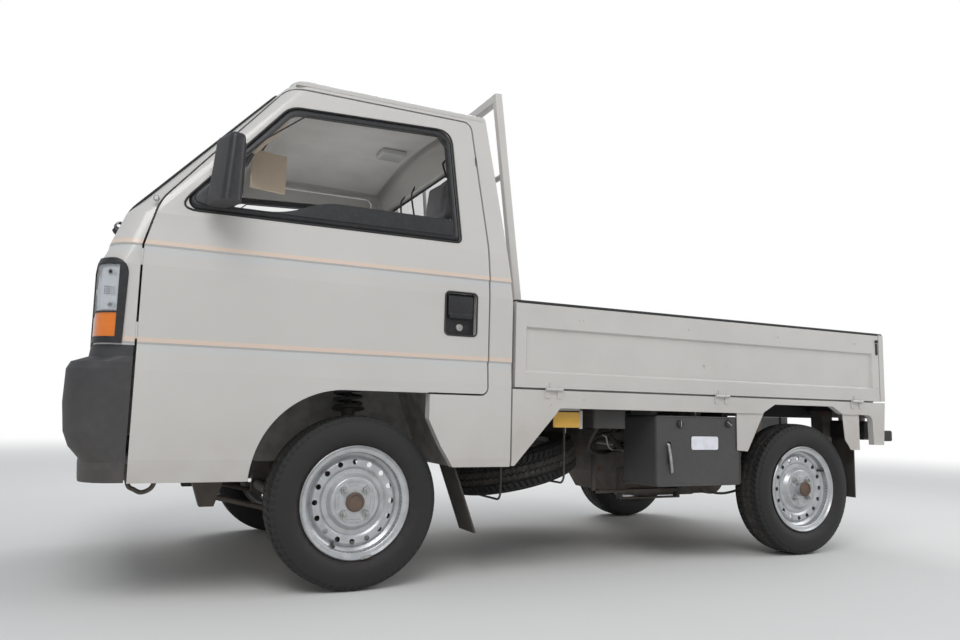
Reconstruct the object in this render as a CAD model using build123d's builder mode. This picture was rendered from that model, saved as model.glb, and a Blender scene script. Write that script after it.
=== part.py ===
"""Kei truck of about 1990, cab over the front wheels, with a drop-side bed.

Millimetres. +X points forward, +Y to the truck's left and +Z up. The origin is on the
ground, midway between the front of the bumper and the rear rubber stops.
"""
from build123d import *
import math
import os

os.makedirs("parts", exist_ok=True)


def save(piece, name):
    """Label one finished piece and write its STEP file."""
    piece.part.label = name
    export_step(piece.part, f"parts/{name}.step")


# Driving dimensions of the whole truck
WHEELBASE = 1900
FRONT_AXLE_X = 785
REAR_AXLE_X = FRONT_AXLE_X - WHEELBASE
HALF_WIDTH = 697.5
BUMPER_X = 1617
STOP_X = -1617
PANEL_GAP = 6
SIDES = {"left": 1, "right": -1}

# Cab: shell thickness, seams and slopes
WALL = 30
CAB_BOTTOM_Z = 337
NOSE_X = 1555
NOSE_ARC_R = 12000
CAB_CORNER_R = 75
BEND_Z = 930
COWL_Z = 1083
COWL_X = 1497
EAVES_Z = 1600
EAVES_X = 1037
EAVES_HALF_WIDTH = 583
CROWN_Z = 1672
CREASE_LOW_Z = 714
CREASE_HIGH_Z = 986
CREASE_DEPTH = 4
CREASE_RISE = 6
CAB_REAR_X = 278
CAB_REAR_LEAN_Z = 918
CAB_REAR_TOP_X = 346
CAB_BACK_HALF_WIDTH = 560
ROOF_SEAM_Z = 1578
ROOF_EDGE_R = 34
REAR_CORNER_R = 34


def plan_outline(half_width, front_x, rear_x, corner_r):
    """Sketch of the cab seen from above: straight sides and a slightly bowed front."""
    sag = half_width**2 / (2 * NOSE_ARC_R)
    with BuildSketch() as outline:
        with BuildLine():
            Line((rear_x, -half_width), (front_x - sag, -half_width))
            ThreePointArc((front_x - sag, -half_width), (front_x, 0), (front_x - sag, half_width))
            Line((front_x - sag, half_width), (rear_x, half_width))
            Line((rear_x, half_width), (rear_x, -half_width))
        make_face()
        fillet(outline.vertices().sort_by(Axis.X)[-2:], corner_r)
    return outline.sketch


# Cab sections from the bottom up: height, half width and front X of the outer skin
CAB_SECTIONS = [
    (CAB_BOTTOM_Z, HALF_WIDTH - 8, NOSE_X - 6),
    (CAB_BOTTOM_Z + 62, HALF_WIDTH, NOSE_X - 4),
    (CREASE_LOW_Z - 74, HALF_WIDTH, NOSE_X - 2),
    (CREASE_LOW_Z - CREASE_RISE / 2, HALF_WIDTH - CREASE_DEPTH, NOSE_X - 1),
    (CREASE_LOW_Z + CREASE_RISE / 2, HALF_WIDTH, NOSE_X - 1),
    (BEND_Z, HALF_WIDTH, NOSE_X),
    (CREASE_HIGH_Z - CREASE_RISE / 2, HALF_WIDTH - CREASE_DEPTH, NOSE_X - 24),
    (CREASE_HIGH_Z + CREASE_RISE / 2, HALF_WIDTH, NOSE_X - 22),
    (COWL_Z, HALF_WIDTH - 13, COWL_X),
    (EAVES_Z, EAVES_HALF_WIDTH, EAVES_X),
]
INNER_SECTIONS = [
    (CAB_BOTTOM_Z - 10, HALF_WIDTH, NOSE_X - 4),
    (BEND_Z, HALF_WIDTH, NOSE_X),
    (COWL_Z, HALF_WIDTH - 13, COWL_X),
    (EAVES_Z, EAVES_HALF_WIDTH, EAVES_X),
]
TOP_RISE = 100


def cab_volume(sections, inset, front_inset=None):
    """Closed solid of the cab's outside, or of its skin moved inwards by inset."""
    if front_inset is None:
        front_inset = inset
    last_z, last_half, last_x = sections[-1]
    low_z, low_half, low_x = sections[-2]
    lean = (last_half - low_half) / (last_z - low_z)
    rake = (last_x - low_x) / (last_z - low_z)
    rows = sections + [(last_z + TOP_RISE, last_half + lean * TOP_RISE, last_x + rake * TOP_RISE)]
    slope = math.hypot(1, rake)
    with BuildPart() as volume:
        for height, half_width, front_x in rows:
            inwards = front_inset * slope if height > BEND_Z else front_inset
            with BuildSketch(Plane.XY.offset(height)):
                add(plan_outline(half_width - inset, front_x - inwards, CAB_REAR_X - 100, CAB_CORNER_R))
        loft(ruled=True)
        # side view: rear wall that leans forward above the bed
        with BuildSketch(Plane.XZ):
            with BuildLine():
                Polyline(
                    (CAB_REAR_X + inset, 0),
                    (CAB_REAR_X + inset, CAB_REAR_LEAN_Z),
                    (CAB_REAR_TOP_X + inset, EAVES_Z),
                    (CAB_REAR_TOP_X + inset + TOP_RISE * 0.1, EAVES_Z + TOP_RISE),
                    (BUMPER_X, EAVES_Z + TOP_RISE),
                    (BUMPER_X, 0),
                    close=True,
                )
            make_face()
        extrude(amount=HALF_WIDTH + 10, both=True, mode=Mode.INTERSECT)
        # end view: the roof's crown
        with BuildSketch(Plane.YZ):
            with BuildLine():
                ThreePointArc(
                    (-EAVES_HALF_WIDTH, EAVES_Z - inset),
                    (0, CROWN_Z - inset),
                    (EAVES_HALF_WIDTH, EAVES_Z - inset),
                )
                Polyline(
                    (EAVES_HALF_WIDTH, EAVES_Z - inset),
                    (HALF_WIDTH + 10, EAVES_Z - inset),
                    (HALF_WIDTH + 10, 0),
                    (-HALF_WIDTH - 10, 0),
                    (-HALF_WIDTH - 10, EAVES_Z - inset),
                    (-EAVES_HALF_WIDTH, EAVES_Z - inset),
                )
            make_face()
        extrude(amount=BUMPER_X + 10, mode=Mode.INTERSECT)
    return volume


def between(outside, inside):
    """Shell between two closed solids."""
    with BuildPart() as shell:
        add(outside.part)
        add(inside.part, mode=Mode.SUBTRACT)
    return shell


def mirrored(piece):
    """The same piece for the truck's other side."""
    with BuildPart() as other:
        mirror(piece.part, about=Plane.XZ)
    return other


with BuildPart() as cab_outer:
    add(cab_volume(CAB_SECTIONS, 0).part)
    # the roof is rounded along its front and sides and folded sharp at the rear
    fillet(cab_outer.faces().sort_by(Axis.Z)[-1].edges().sort_by(Axis.X)[1:], ROOF_EDGE_R)

cab_inner = cab_volume(INNER_SECTIONS, WALL)
cab_shell = between(cab_outer, cab_inner)
side_core = cab_volume(INNER_SECTIONS, WALL, -WALL)
side_core_clear = cab_volume(INNER_SECTIONS, WALL + PANEL_GAP, -WALL)

# Doors: outline seen from the side, X and Z, with the front wheel's arch cut into it
DOOR_FRONT_X = 1432
DOOR_KINK = (1396, 1126)
DOOR_PILLAR_TOP = (1052, ROOF_SEAM_Z - PANEL_GAP)
DOOR_REAR_TOP_X = 397
DOOR_REAR_X = 367
DOOR_SILL_Z = 606
DOOR_TAPER = 5
ARCH_X = 845
ARCH_Z = 334
ARCH_R = 270
DOOR_REACH = 230
DOOR_START_Y = HALF_WIDTH + 15

with BuildSketch() as door_outline:
    with BuildLine():
        Polyline(
            (ARCH_X + ARCH_R, ARCH_Z - 20),
            (DOOR_FRONT_X, ARCH_Z - 20),
            (DOOR_FRONT_X, CREASE_HIGH_Z),
            DOOR_KINK,
            DOOR_PILLAR_TOP,
            (DOOR_REAR_TOP_X, DOOR_PILLAR_TOP[1]),
            (DOOR_REAR_X, 1110),
            (DOOR_REAR_X, DOOR_SILL_Z),
            (ARCH_X - ARCH_R, DOOR_SILL_Z),
            (ARCH_X - ARCH_R, ARCH_Z - 20),
            close=True,
        )
    make_face()
    fillet(door_outline.vertices().sort_by_distance((DOOR_REAR_X, DOOR_SILL_Z))[0], 22)
    fillet(door_outline.vertices().sort_by_distance((DOOR_REAR_TOP_X, ROOF_SEAM_Z))[0], 40)
    fillet(door_outline.vertices().sort_by_distance(DOOR_PILLAR_TOP)[0], 60)
    fillet(door_outline.vertices().sort_by_distance(DOOR_KINK)[0], 150)
    with Locations((ARCH_X, ARCH_Z)):
        Circle(ARCH_R, mode=Mode.SUBTRACT)
    with Locations((ARCH_X - ARCH_R, 0)):
        Rectangle(2 * ARCH_R, ARCH_Z + ARCH_R, align=(Align.CENTER, Align.MIN), mode=Mode.SUBTRACT)

with BuildSketch() as door_opening_outline:
    add(door_outline.sketch)
    with Locations((ARCH_X - ARCH_R, ARCH_Z)):
        Rectangle(2 * ARCH_R, ARCH_R, align=(Align.MIN, Align.MIN))
    with Locations((ARCH_X - ARCH_R, ARCH_Z - 20)):
        Rectangle(2 * ARCH_R, ARCH_R, align=(Align.MIN, Align.MIN))
    offset(amount=PANEL_GAP, kind=Kind.INTERSECTION)


def side_prism(sketch, taper=DOOR_TAPER):
    """Side-view sketch pushed inwards from just outside the left side."""
    with BuildPart() as prism:
        with BuildSketch(Plane.XZ.offset(-DOOR_START_Y)):
            add(sketch.sketch)
        extrude(amount=DOOR_REACH, taper=taper)
    return prism


door_prism = side_prism(door_outline)
with BuildPart() as door_opening:
    add(side_prism(door_opening_outline).part)
    add(side_core_clear.part, mode=Mode.SUBTRACT)

# Side windows, their black surrounds and the glass
TRIM_PROUD = 2.5
TRIM_DEPTH = 20
TRIM_WIDTH = 22
GLASS_NEAR = 12
GLASS_FAR = 17
WINDOW_FRONT_LOW = (1357, 1104)
WINDOW_REAR_LOW = (468, 1108)
WINDOW_REAR_TOP = (484, 1516)
WINDOW_FRONT_TOP = (1036, 1492)
BELT_TOP_Z = 1184
BELT_FRONT_Z = 1129
BELT_CURVE_X = (870, 1110)
SAIL_REAR_X = 1216

with BuildSketch() as window_outline:
    with BuildLine():
        Polyline(WINDOW_FRONT_LOW, WINDOW_REAR_LOW, WINDOW_REAR_TOP, WINDOW_FRONT_TOP, close=True)
    make_face()
    fillet(window_outline.vertices().sort_by_distance(WINDOW_FRONT_LOW)[0], 30)
    fillet(window_outline.vertices().sort_by_distance(WINDOW_REAR_LOW)[0], 20)
    fillet(window_outline.vertices().sort_by_distance(WINDOW_REAR_TOP)[0], 55)
    fillet(window_outline.vertices().sort_by_distance(WINDOW_FRONT_TOP)[0], 75)

belt_step = (sum(BELT_CURVE_X) / 2, (BELT_TOP_Z + BELT_FRONT_Z) / 2)
half_run = (BELT_CURVE_X[1] - BELT_CURVE_X[0]) / 2
half_rise = (BELT_TOP_Z - BELT_FRONT_Z) / 2
step_r = (half_run**2 + half_rise**2) / (2 * half_rise)
step_angle = math.asin(half_run / step_r) / 2
step_in = (step_r * math.sin(step_angle), step_r * (1 - math.cos(step_angle)))

with BuildSketch() as belt_band:
    with BuildLine():
        Polyline(
            (BELT_CURVE_X[0], BELT_TOP_Z),
            (WINDOW_REAR_LOW[0] - 10, BELT_TOP_Z),
            (WINDOW_REAR_LOW[0] - 10, WINDOW_REAR_LOW[1] - 10),
            (WINDOW_FRONT_LOW[0], WINDOW_REAR_LOW[1] - 10),
            (WINDOW_FRONT_LOW[0], BELT_FRONT_Z),
            (BELT_CURVE_X[1], BELT_FRONT_Z),
        )
        # the step between both heights is two equal arcs
        ThreePointArc(
            (BELT_CURVE_X[1], BELT_FRONT_Z),
            (BELT_CURVE_X[1] - step_in[0], BELT_FRONT_Z + step_in[1]),
            belt_step,
        )
        ThreePointArc(
            belt_step,
            (BELT_CURVE_X[0] + step_in[0], BELT_TOP_Z - step_in[1]),
            (BELT_CURVE_X[0], BELT_TOP_Z),
        )
    make_face()

with BuildSketch() as pane_outline:
    add(window_outline.sketch)
    offset(amount=-TRIM_WIDTH, kind=Kind.INTERSECTION)
    add(belt_band.sketch, mode=Mode.SUBTRACT)
    with Locations((SAIL_REAR_X, WINDOW_FRONT_LOW[1] - 20)):
        Rectangle(200, 300, align=(Align.MIN, Align.MIN), mode=Mode.SUBTRACT)

window_prism = side_prism(window_outline, 0)
pane_prism = side_prism(pane_outline, 0)
trim_shell = between(cab_volume(INNER_SECTIONS, -TRIM_PROUD), cab_volume(INNER_SECTIONS, TRIM_DEPTH))
glass_shell = between(cab_volume(INNER_SECTIONS, GLASS_NEAR), cab_volume(INNER_SECTIONS, GLASS_FAR))

# Door handle: a pocket with a pull-up flap
HANDLE_X = (413, 525)
HANDLE_Z = (796, 936)
HANDLE_DEPTH = 22

with BuildPart() as door_left:
    add(cab_outer.part)
    add(side_core.part, mode=Mode.SUBTRACT)
    add(door_prism.part, mode=Mode.INTERSECT)
    add(window_prism.part, mode=Mode.SUBTRACT)
    with BuildSketch(Plane.XZ.offset(-DOOR_START_Y)):
        with Locations((sum(HANDLE_X) / 2, sum(HANDLE_Z) / 2)):
            RectangleRounded(HANDLE_X[1] - HANDLE_X[0], HANDLE_Z[1] - HANDLE_Z[0], 12)
    extrude(amount=DOOR_START_Y - HALF_WIDTH + HANDLE_DEPTH, mode=Mode.SUBTRACT)

with BuildPart() as door_glass_left:
    add(glass_shell.part)
    add(pane_prism.part, mode=Mode.INTERSECT)

# Mirror on the sail panel, and the handle, with the window surround
MIRROR_CENTRE = (1236, 792, 1202)
MIRROR_SIZE = (78, 138, 214)
ARM_FOOT = (1250, 640, 1150)
ARM_R = 13

mirror_plane = Plane(origin=MIRROR_CENTRE, x_dir=(0.94, 0.34, 0), z_dir=(0, 0, 1))
with BuildPart() as door_trim_left:
    add(trim_shell.part)
    add(window_prism.part, mode=Mode.INTERSECT)
    add(pane_prism.part, mode=Mode.SUBTRACT)
    # housing and its arm
    with BuildSketch(mirror_plane.offset(-MIRROR_SIZE[2] / 2)):
        RectangleRounded(MIRROR_SIZE[0], MIRROR_SIZE[1], 26)
    extrude(amount=MIRROR_SIZE[2])
    fillet(door_trim_left.edges().filter_by_position(
        Axis.Z, MIRROR_CENTRE[2] + MIRROR_SIZE[2] / 2 - 1, MIRROR_CENTRE[2] + MIRROR_SIZE[2] / 2 + 1), 18)
    arm_path = Line(ARM_FOOT, (MIRROR_CENTRE[0], MIRROR_CENTRE[1] - 20, MIRROR_CENTRE[2] - 50))
    with BuildSketch(Plane(origin=ARM_FOOT, z_dir=arm_path % 0)):
        Circle(ARM_R)
    sweep(path=arm_path)

for piece, name in (
    (door_left, "door_left"),
    (door_glass_left, "door_glass_left"),
    (door_trim_left, "door_trim_left"),
):
    save(piece, name)
    save(mirrored(piece), name.replace("left", "right"))

# Cab panels: seams between nose, sides, back and roof
SIDE_SPLIT_X = 720
PANEL_LOW_Z = 707
NOSE_WALL_NEAR = 16
NOSE_LOW_Z = 352
SIDE_LOW_Z = 371
ARCH_REAR = ((614, ARCH_Z + ARCH_R + 20), (614, DOOR_SILL_Z), (527, 436), (484, SIDE_LOW_Z))
BACK_LOW_Z = 628
LAMP_REAR_X = 1463
LAMP_Z = (711, 944)
LAMP_INNER_Y = 430
LAMP_CORNER_R = 42

# Windscreen opening on the raked plane
RAKE_LENGTH = math.hypot(EAVES_Z - COWL_Z, COWL_X - EAVES_X)
RAKE_UP = ((EAVES_X - COWL_X) / RAKE_LENGTH, 0, (EAVES_Z - COWL_Z) / RAKE_LENGTH)
RAKE_OUT = (RAKE_UP[2], 0, -RAKE_UP[0])
SCREEN_LOW = 34
SCREEN_HIGH = RAKE_LENGTH - 62
SCREEN_LOW_HALF = 628
SCREEN_HIGH_HALF = 530
SCREEN_CORNER_R = 55
screen_plane = Plane(origin=(COWL_X, 0, COWL_Z), x_dir=(0, 1, 0), z_dir=RAKE_OUT)

with BuildPart() as screen_prism:
    with BuildSketch(screen_plane.offset(-120)):
        with BuildLine():
            Polyline(
                (-SCREEN_LOW_HALF, SCREEN_LOW),
                (SCREEN_LOW_HALF, SCREEN_LOW),
                (SCREEN_HIGH_HALF, SCREEN_HIGH),
                (-SCREEN_HIGH_HALF, SCREEN_HIGH),
                close=True,
            )
        screen_face = make_face()
        fillet(screen_face.vertices(), SCREEN_CORNER_R)
    extrude(amount=200)

with BuildPart() as lamp_prism:
    with BuildSketch(Plane.XZ.offset(-HALF_WIDTH - 10)):
        with BuildLine():
            Polyline(
                (BUMPER_X, LAMP_Z[0]),
                (LAMP_REAR_X + 5, LAMP_Z[0]),
                (LAMP_REAR_X, LAMP_Z[1]),
                (BUMPER_X, LAMP_Z[1]),
                close=True,
            )
        lamp_face = make_face()
        fillet(lamp_face.vertices().sort_by_distance((LAMP_REAR_X, LAMP_Z[1]))[0], LAMP_CORNER_R)
    extrude(amount=HALF_WIDTH + 10 - LAMP_INNER_Y)

# Inner wall of the nose, behind the bumper
with BuildPart() as nose_wall:
    add(cab_volume(INNER_SECTIONS, NOSE_WALL_NEAR).part)
    add(cab_inner.part, mode=Mode.SUBTRACT)
    with BuildSketch(Plane.XZ):
        with Locations((DOOR_FRONT_X + PANEL_GAP, NOSE_LOW_Z)):
            Rectangle(BUMPER_X, PANEL_LOW_Z - NOSE_LOW_Z, align=(Align.MIN, Align.MIN))
    extrude(amount=HALF_WIDTH + 10, both=True, mode=Mode.INTERSECT)

# Door hinge pins stand in the gap ahead of each door
PIN_R = 3
PIN_GAP = 0.3
PIN_LENGTH = 46
PIN_Y = HALF_WIDTH - PIN_R / 2
PIN_X = DOOR_FRONT_X - (DOOR_START_Y - PIN_Y) * math.tan(math.radians(DOOR_TAPER)) + PIN_R + PIN_GAP
PIN_ZS = (748, 952)
PIN_LEAF = (11, 10)

with BuildPart() as cab_front_panel:
    add(cab_shell.part)
    # in front of the doors and under the roof seam
    with BuildSketch(Plane.XZ):
        with Locations((SIDE_SPLIT_X, PANEL_LOW_Z)):
            Rectangle(BUMPER_X, ROOF_SEAM_Z - PANEL_LOW_Z, align=(Align.MIN, Align.MIN))
    extrude(amount=HALF_WIDTH + 10, both=True, mode=Mode.INTERSECT)
    add(screen_prism.part, mode=Mode.SUBTRACT)
    add(lamp_prism.part, mode=Mode.SUBTRACT)
    add(mirrored(lamp_prism).part, mode=Mode.SUBTRACT)
    add(door_opening.part, mode=Mode.SUBTRACT)
    add(mirrored(door_opening).part, mode=Mode.SUBTRACT)
    add(nose_wall.part)
    for sign in SIDES.values():
        for pin_z in PIN_ZS:
            with Locations((PIN_X, sign * PIN_Y, pin_z)):
                Cylinder(PIN_R, PIN_LENGTH)
            with Locations((PIN_X + PIN_LEAF[0] / 2, sign * (PIN_Y - PIN_LEAF[1] / 2), pin_z)):
                Box(PIN_LEAF[0], PIN_LEAF[1], PIN_LENGTH)

with BuildPart() as cab_side_left:
    add(cab_outer.part)
    add(side_core.part, mode=Mode.SUBTRACT)
    with BuildSketch(Plane.XZ.offset(-HALF_WIDTH - 10)):
        with BuildLine():
            Polyline(
                (CAB_REAR_X - 10, SIDE_LOW_Z),
                (CAB_REAR_X - 10, ROOF_SEAM_Z),
                (SIDE_SPLIT_X, ROOF_SEAM_Z),
                (SIDE_SPLIT_X, ARCH_REAR[0][1]),
                *ARCH_REAR,
                close=True,
            )
        make_face()
    extrude(amount=HALF_WIDTH + 10 - CAB_BACK_HALF_WIDTH, mode=Mode.INTERSECT)
    add(door_opening.part, mode=Mode.SUBTRACT)

# Rear wall of the cab with its window
REAR_WINDOW_HALF = 475
REAR_WINDOW_Z = (1135, 1490)
REAR_WINDOW_R = 60


def rear_window_prism(inset):
    """Opening of the rear window, moved inwards by inset on every side."""
    low, high = REAR_WINDOW_Z
    with BuildPart() as prism:
        with BuildSketch(Plane.YZ.offset(CAB_REAR_X - 20)):
            with Locations((0, (low + high) / 2)):
                RectangleRounded(2 * REAR_WINDOW_HALF - 2 * inset, high - low - 2 * inset, REAR_WINDOW_R)
        extrude(amount=170)
    return prism


with BuildPart() as cab_back_panel:
    add(cab_shell.part)
    with BuildSketch(Plane.XZ):
        with Locations((CAB_REAR_X - 10, BACK_LOW_Z)):
            Rectangle(200, ROOF_SEAM_Z - BACK_LOW_Z, align=(Align.MIN, Align.MIN))
    extrude(amount=CAB_BACK_HALF_WIDTH, both=True, mode=Mode.INTERSECT)
    add(rear_window_prism(0).part, mode=Mode.SUBTRACT)

# Roof with a drip gutter along each side
GUTTER_PROUD = 9
GUTTER_THICK = 5
GUTTER_X = (CAB_REAR_TOP_X + 6, EAVES_X + 16)
GUTTER_Y = EAVES_HALF_WIDTH - 4

with BuildPart() as roof:
    add(cab_shell.part)
    with BuildSketch(Plane.XZ):
        with Locations((CAB_REAR_X - 10, ROOF_SEAM_Z)):
            Rectangle(BUMPER_X, 200, align=(Align.MIN, Align.MIN))
    extrude(amount=HALF_WIDTH + 10, both=True, mode=Mode.INTERSECT)
    for sign in SIDES.values():
        with BuildSketch(Plane.YZ.offset(GUTTER_X[0])):
            with Locations((sign * GUTTER_Y, ROOF_SEAM_Z + GUTTER_THICK / 2)):
                Rectangle(2 * GUTTER_PROUD, GUTTER_THICK)
            with Locations((sign * (GUTTER_Y + GUTTER_PROUD - 1), ROOF_SEAM_Z + GUTTER_THICK)):
                Rectangle(3, 2 * GUTTER_THICK)
        extrude(amount=GUTTER_X[1] - GUTTER_X[0])

# Windscreen and rear window panes
with BuildPart() as windscreen:
    add(glass_shell.part)
    add(screen_prism.part, mode=Mode.INTERSECT)

with BuildPart() as rear_window:
    add(glass_shell.part)
    add(rear_window_prism(0).part, mode=Mode.INTERSECT)

# Lamps that wrap round the front corners
LAMP_PROUD = 4
LAMP_DEPTH = 44
LENS_PROUD = 2
LENS_THICK = 4
LENS_REAR_X = 1487
LENS_INNER_Y = 458
HEADLAMP_Z = (797, 926)
INDICATOR_Z = (728, 793)


def lens_piece(shell, z_range):
    """Part of a shell that shows through one lens opening on the left corner."""
    low, high = z_range
    with BuildPart() as piece:
        with BuildSketch(Plane.XZ.offset(-HALF_WIDTH - 10)):
            with Locations((LENS_REAR_X, low)):
                Rectangle(200, high - low, align=(Align.MIN, Align.MIN))
        extrude(amount=HALF_WIDTH + 10 - LENS_INNER_Y)
        add(shell.part, mode=Mode.INTERSECT)
    return piece


lamp_shell = between(cab_volume(INNER_SECTIONS, -LAMP_PROUD), cab_volume(INNER_SECTIONS, LAMP_DEPTH))
lamp_pocket = between(cab_volume(INNER_SECTIONS, -LAMP_PROUD), cab_volume(INNER_SECTIONS, LAMP_DEPTH - 6))
lens_shell = between(
    cab_volume(INNER_SECTIONS, -LENS_PROUD), cab_volume(INNER_SECTIONS, LENS_THICK - LENS_PROUD)
)

with BuildPart() as lamp_bezel_left:
    add(lamp_shell.part)
    add(lamp_prism.part, mode=Mode.INTERSECT)
    for z_range in (HEADLAMP_Z, INDICATOR_Z):
        add(lens_piece(lamp_pocket, z_range).part, mode=Mode.SUBTRACT)

headlamp_left = lens_piece(lens_shell, HEADLAMP_Z)
indicator_left = lens_piece(lens_shell, INDICATOR_Z)


def pair(left_piece):
    """One part that holds a left piece and its mirror image."""
    with BuildPart() as both:
        add(left_piece.part)
        mirror(left_piece.part, about=Plane.XZ)
    return both


# Bumper: height, front X and half width of each section
BUMPER_REAR_X = DOOR_FRONT_X + PANEL_GAP
BUMPER_WALL = 13
BUMPER_CORNER_R = 95
BUMPER_LOW_Z = 339
BUMPER_SECTIONS = [
    (BUMPER_LOW_Z, BUMPER_X - 52, HALF_WIDTH - 4),
    (374, BUMPER_X - 50, HALF_WIDTH - 1),
    (392, BUMPER_X - 56, HALF_WIDTH),
    (432, BUMPER_X - 22, HALF_WIDTH + 1),
    (472, BUMPER_X - 7, HALF_WIDTH + 2),
    (550, BUMPER_X, HALF_WIDTH + 2),
    (640, BUMPER_X - 2, HALF_WIDTH + 2),
    (660, BUMPER_X - 12, HALF_WIDTH + 1),
    (676, BUMPER_X - 56, HALF_WIDTH - 2),
    (PANEL_LOW_Z, BUMPER_X - 60, HALF_WIDTH - 2),
]

with BuildPart() as bumper:
    for height, front_x, half_width in BUMPER_SECTIONS:
        with BuildSketch(Plane.XY.offset(height)):
            add(plan_outline(half_width, front_x, BUMPER_REAR_X, BUMPER_CORNER_R))
    loft(ruled=True)
    add(cab_volume(INNER_SECTIONS, BUMPER_WALL).part, mode=Mode.SUBTRACT)

# Cab floor: seat platform, riser, foot well and toe board in one folded sheet
FLOOR_THICK = 22
FLOOR_HALF = 648
PLATFORM_Z = 652
WELL_Z = 396
WELL_X = (1112, 1468)
RISER_X = 1082
TOE_TOP = (1513, 600)
WHEELHOUSE_Y = 372
WHEELHOUSE_X = (470, 1100)
WHEELHOUSE_LOW_Z = 372
SHEET = 6
WALL_TOP = (WHEELHOUSE_X[0] + 105, PLATFORM_Z)

with BuildPart() as cab_floor:
    with BuildSketch(Plane.XZ):
        with BuildLine():
            fold = Polyline(
                (CAB_REAR_X + WALL, PLATFORM_Z),
                (RISER_X, PLATFORM_Z),
                (WELL_X[0], WELL_Z),
                (WELL_X[1], WELL_Z),
                TOE_TOP,
            )
        trace(fold, line_width=FLOOR_THICK)
    extrude(amount=FLOOR_HALF, both=True)
    # wheelhouse walls, with the space that the struts pass up through left open
    for sign in SIDES.values():
        with BuildSketch(Plane.XZ.offset(-sign * WHEELHOUSE_Y)):
            with BuildLine():
                Polyline(
                    (WHEELHOUSE_X[0], WHEELHOUSE_LOW_Z),
                    WALL_TOP,
                    (RISER_X, PLATFORM_Z),
                    (WHEELHOUSE_X[1] + 10, WHEELHOUSE_LOW_Z + 20),
                    (WHEELHOUSE_X[1] - 60, WHEELHOUSE_LOW_Z),
                    close=True,
                )
            make_face()
        extrude(amount=SHEET if sign > 0 else -SHEET)
    with BuildSketch(Plane.XZ):
        with BuildLine():
            rear_wall = Line((WHEELHOUSE_X[0], WHEELHOUSE_LOW_Z), WALL_TOP)
        trace(rear_wall, line_width=SHEET)
    extrude(amount=FLOOR_HALF, both=True)
    # the rear wall runs only beside the wheels
    with BuildSketch(Plane.YZ.offset(WHEELHOUSE_X[0] - 20)):
        with Locations((0, WHEELHOUSE_LOW_Z - 10)):
            Rectangle(
                2 * (WHEELHOUSE_Y - SHEET),
                PLATFORM_Z - FLOOR_THICK / 2 - WHEELHOUSE_LOW_Z + 10,
                align=(Align.CENTER, Align.MIN),
            )
    extrude(amount=140, mode=Mode.SUBTRACT)
    add(cab_inner.part, mode=Mode.INTERSECT)

# Seats: cushion, back and headrest, one for each side
SEAT_Y = 335
SEAT_HALF = 245
SEAT_LOW_Z = PLATFORM_Z + FLOOR_THICK / 2 + 0.3


def seat(sign):
    """One seat as a plain closed solid: cushion, back and headrest."""
    with BuildPart() as solid:
        with BuildSketch(Plane.XZ.offset(-sign * SEAT_Y)):
            with BuildLine():
                Polyline(
                    (400, SEAT_LOW_Z),
                    (850, SEAT_LOW_Z),
                    (880, SEAT_LOW_Z + 90),
                    (860, SEAT_LOW_Z + 135),
                    (520, SEAT_LOW_Z + 110),
                    (452, SEAT_LOW_Z + 560),
                    (372, SEAT_LOW_Z + 560),
                    close=True,
                )
            seat_face = make_face()
            fillet(seat_face.vertices(), 22)
        extrude(amount=SEAT_HALF, both=True)
        with BuildSketch(Plane.XZ.offset(-sign * SEAT_Y)):
            with BuildLine():
                Polyline(
                    (385, SEAT_LOW_Z + 550),
                    (440, SEAT_LOW_Z + 550),
                    (437, SEAT_LOW_Z + 780),
                    (368, SEAT_LOW_Z + 780),
                    (362, SEAT_LOW_Z + 600),
                    close=True,
                )
            rest_face = make_face()
            fillet(rest_face.vertices(), 18)
        extrude(amount=125, both=True)
    return solid


# Steering wheel on its column, on the right-hand side
WHEEL_CENTRE = (1120, -SEAT_Y, 1020)
WHEEL_R = 184
WHEEL_TUBE_R = 13
COLUMN_TILT = 38
COLUMN_R = 27
COLUMN_LENGTH = 210
hand_plane = Plane(
    origin=WHEEL_CENTRE,
    x_dir=(0, 1, 0),
    z_dir=(-math.cos(math.radians(COLUMN_TILT)), 0, math.sin(math.radians(COLUMN_TILT))),
)

with BuildPart() as steering_wheel:
    with BuildSketch(hand_plane.offset(-40)):
        Circle(52)
    extrude(amount=44)
    with BuildSketch(hand_plane.offset(-COLUMN_LENGTH)):
        Circle(COLUMN_R)
    extrude(amount=COLUMN_LENGTH - 30)
    with BuildSketch(hand_plane.offset(-24)):
        for angle in (90, 210, 330):
            with Locations(Location((0, 0), angle)):
                with Locations((WHEEL_R / 2, 0)):
                    Rectangle(WHEEL_R, 30)
    extrude(amount=12)
    with BuildSketch(Plane(origin=WHEEL_CENTRE, x_dir=hand_plane.z_dir, z_dir=(0, 1, 0))) as rim_section:
        with Locations((-18, WHEEL_R)):
            Circle(WHEEL_TUBE_R)
    revolve(axis=Axis(WHEEL_CENTRE, hand_plane.z_dir))

# Dashboard, fitted to the inside of the nose
DASH_HALF = 636
DASH_FACE = (
    (1238, 900), (1226, 1000), (1262, 1050), (1420, 1076), (BUMPER_X, 1076), (BUMPER_X, 956), (1440, 956),
    (1330, 860),
)

with BuildPart() as dashboard:
    with BuildSketch(Plane.XZ):
        with BuildLine():
            Polyline(*DASH_FACE, close=True)
        make_face()
    extrude(amount=DASH_HALF, both=True)
    add(cab_inner.part, mode=Mode.INTERSECT)
    add(steering_wheel.part, mode=Mode.SUBTRACT)

seat_left = seat(SIDES["left"])
seat_right = seat(SIDES["right"])

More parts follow.
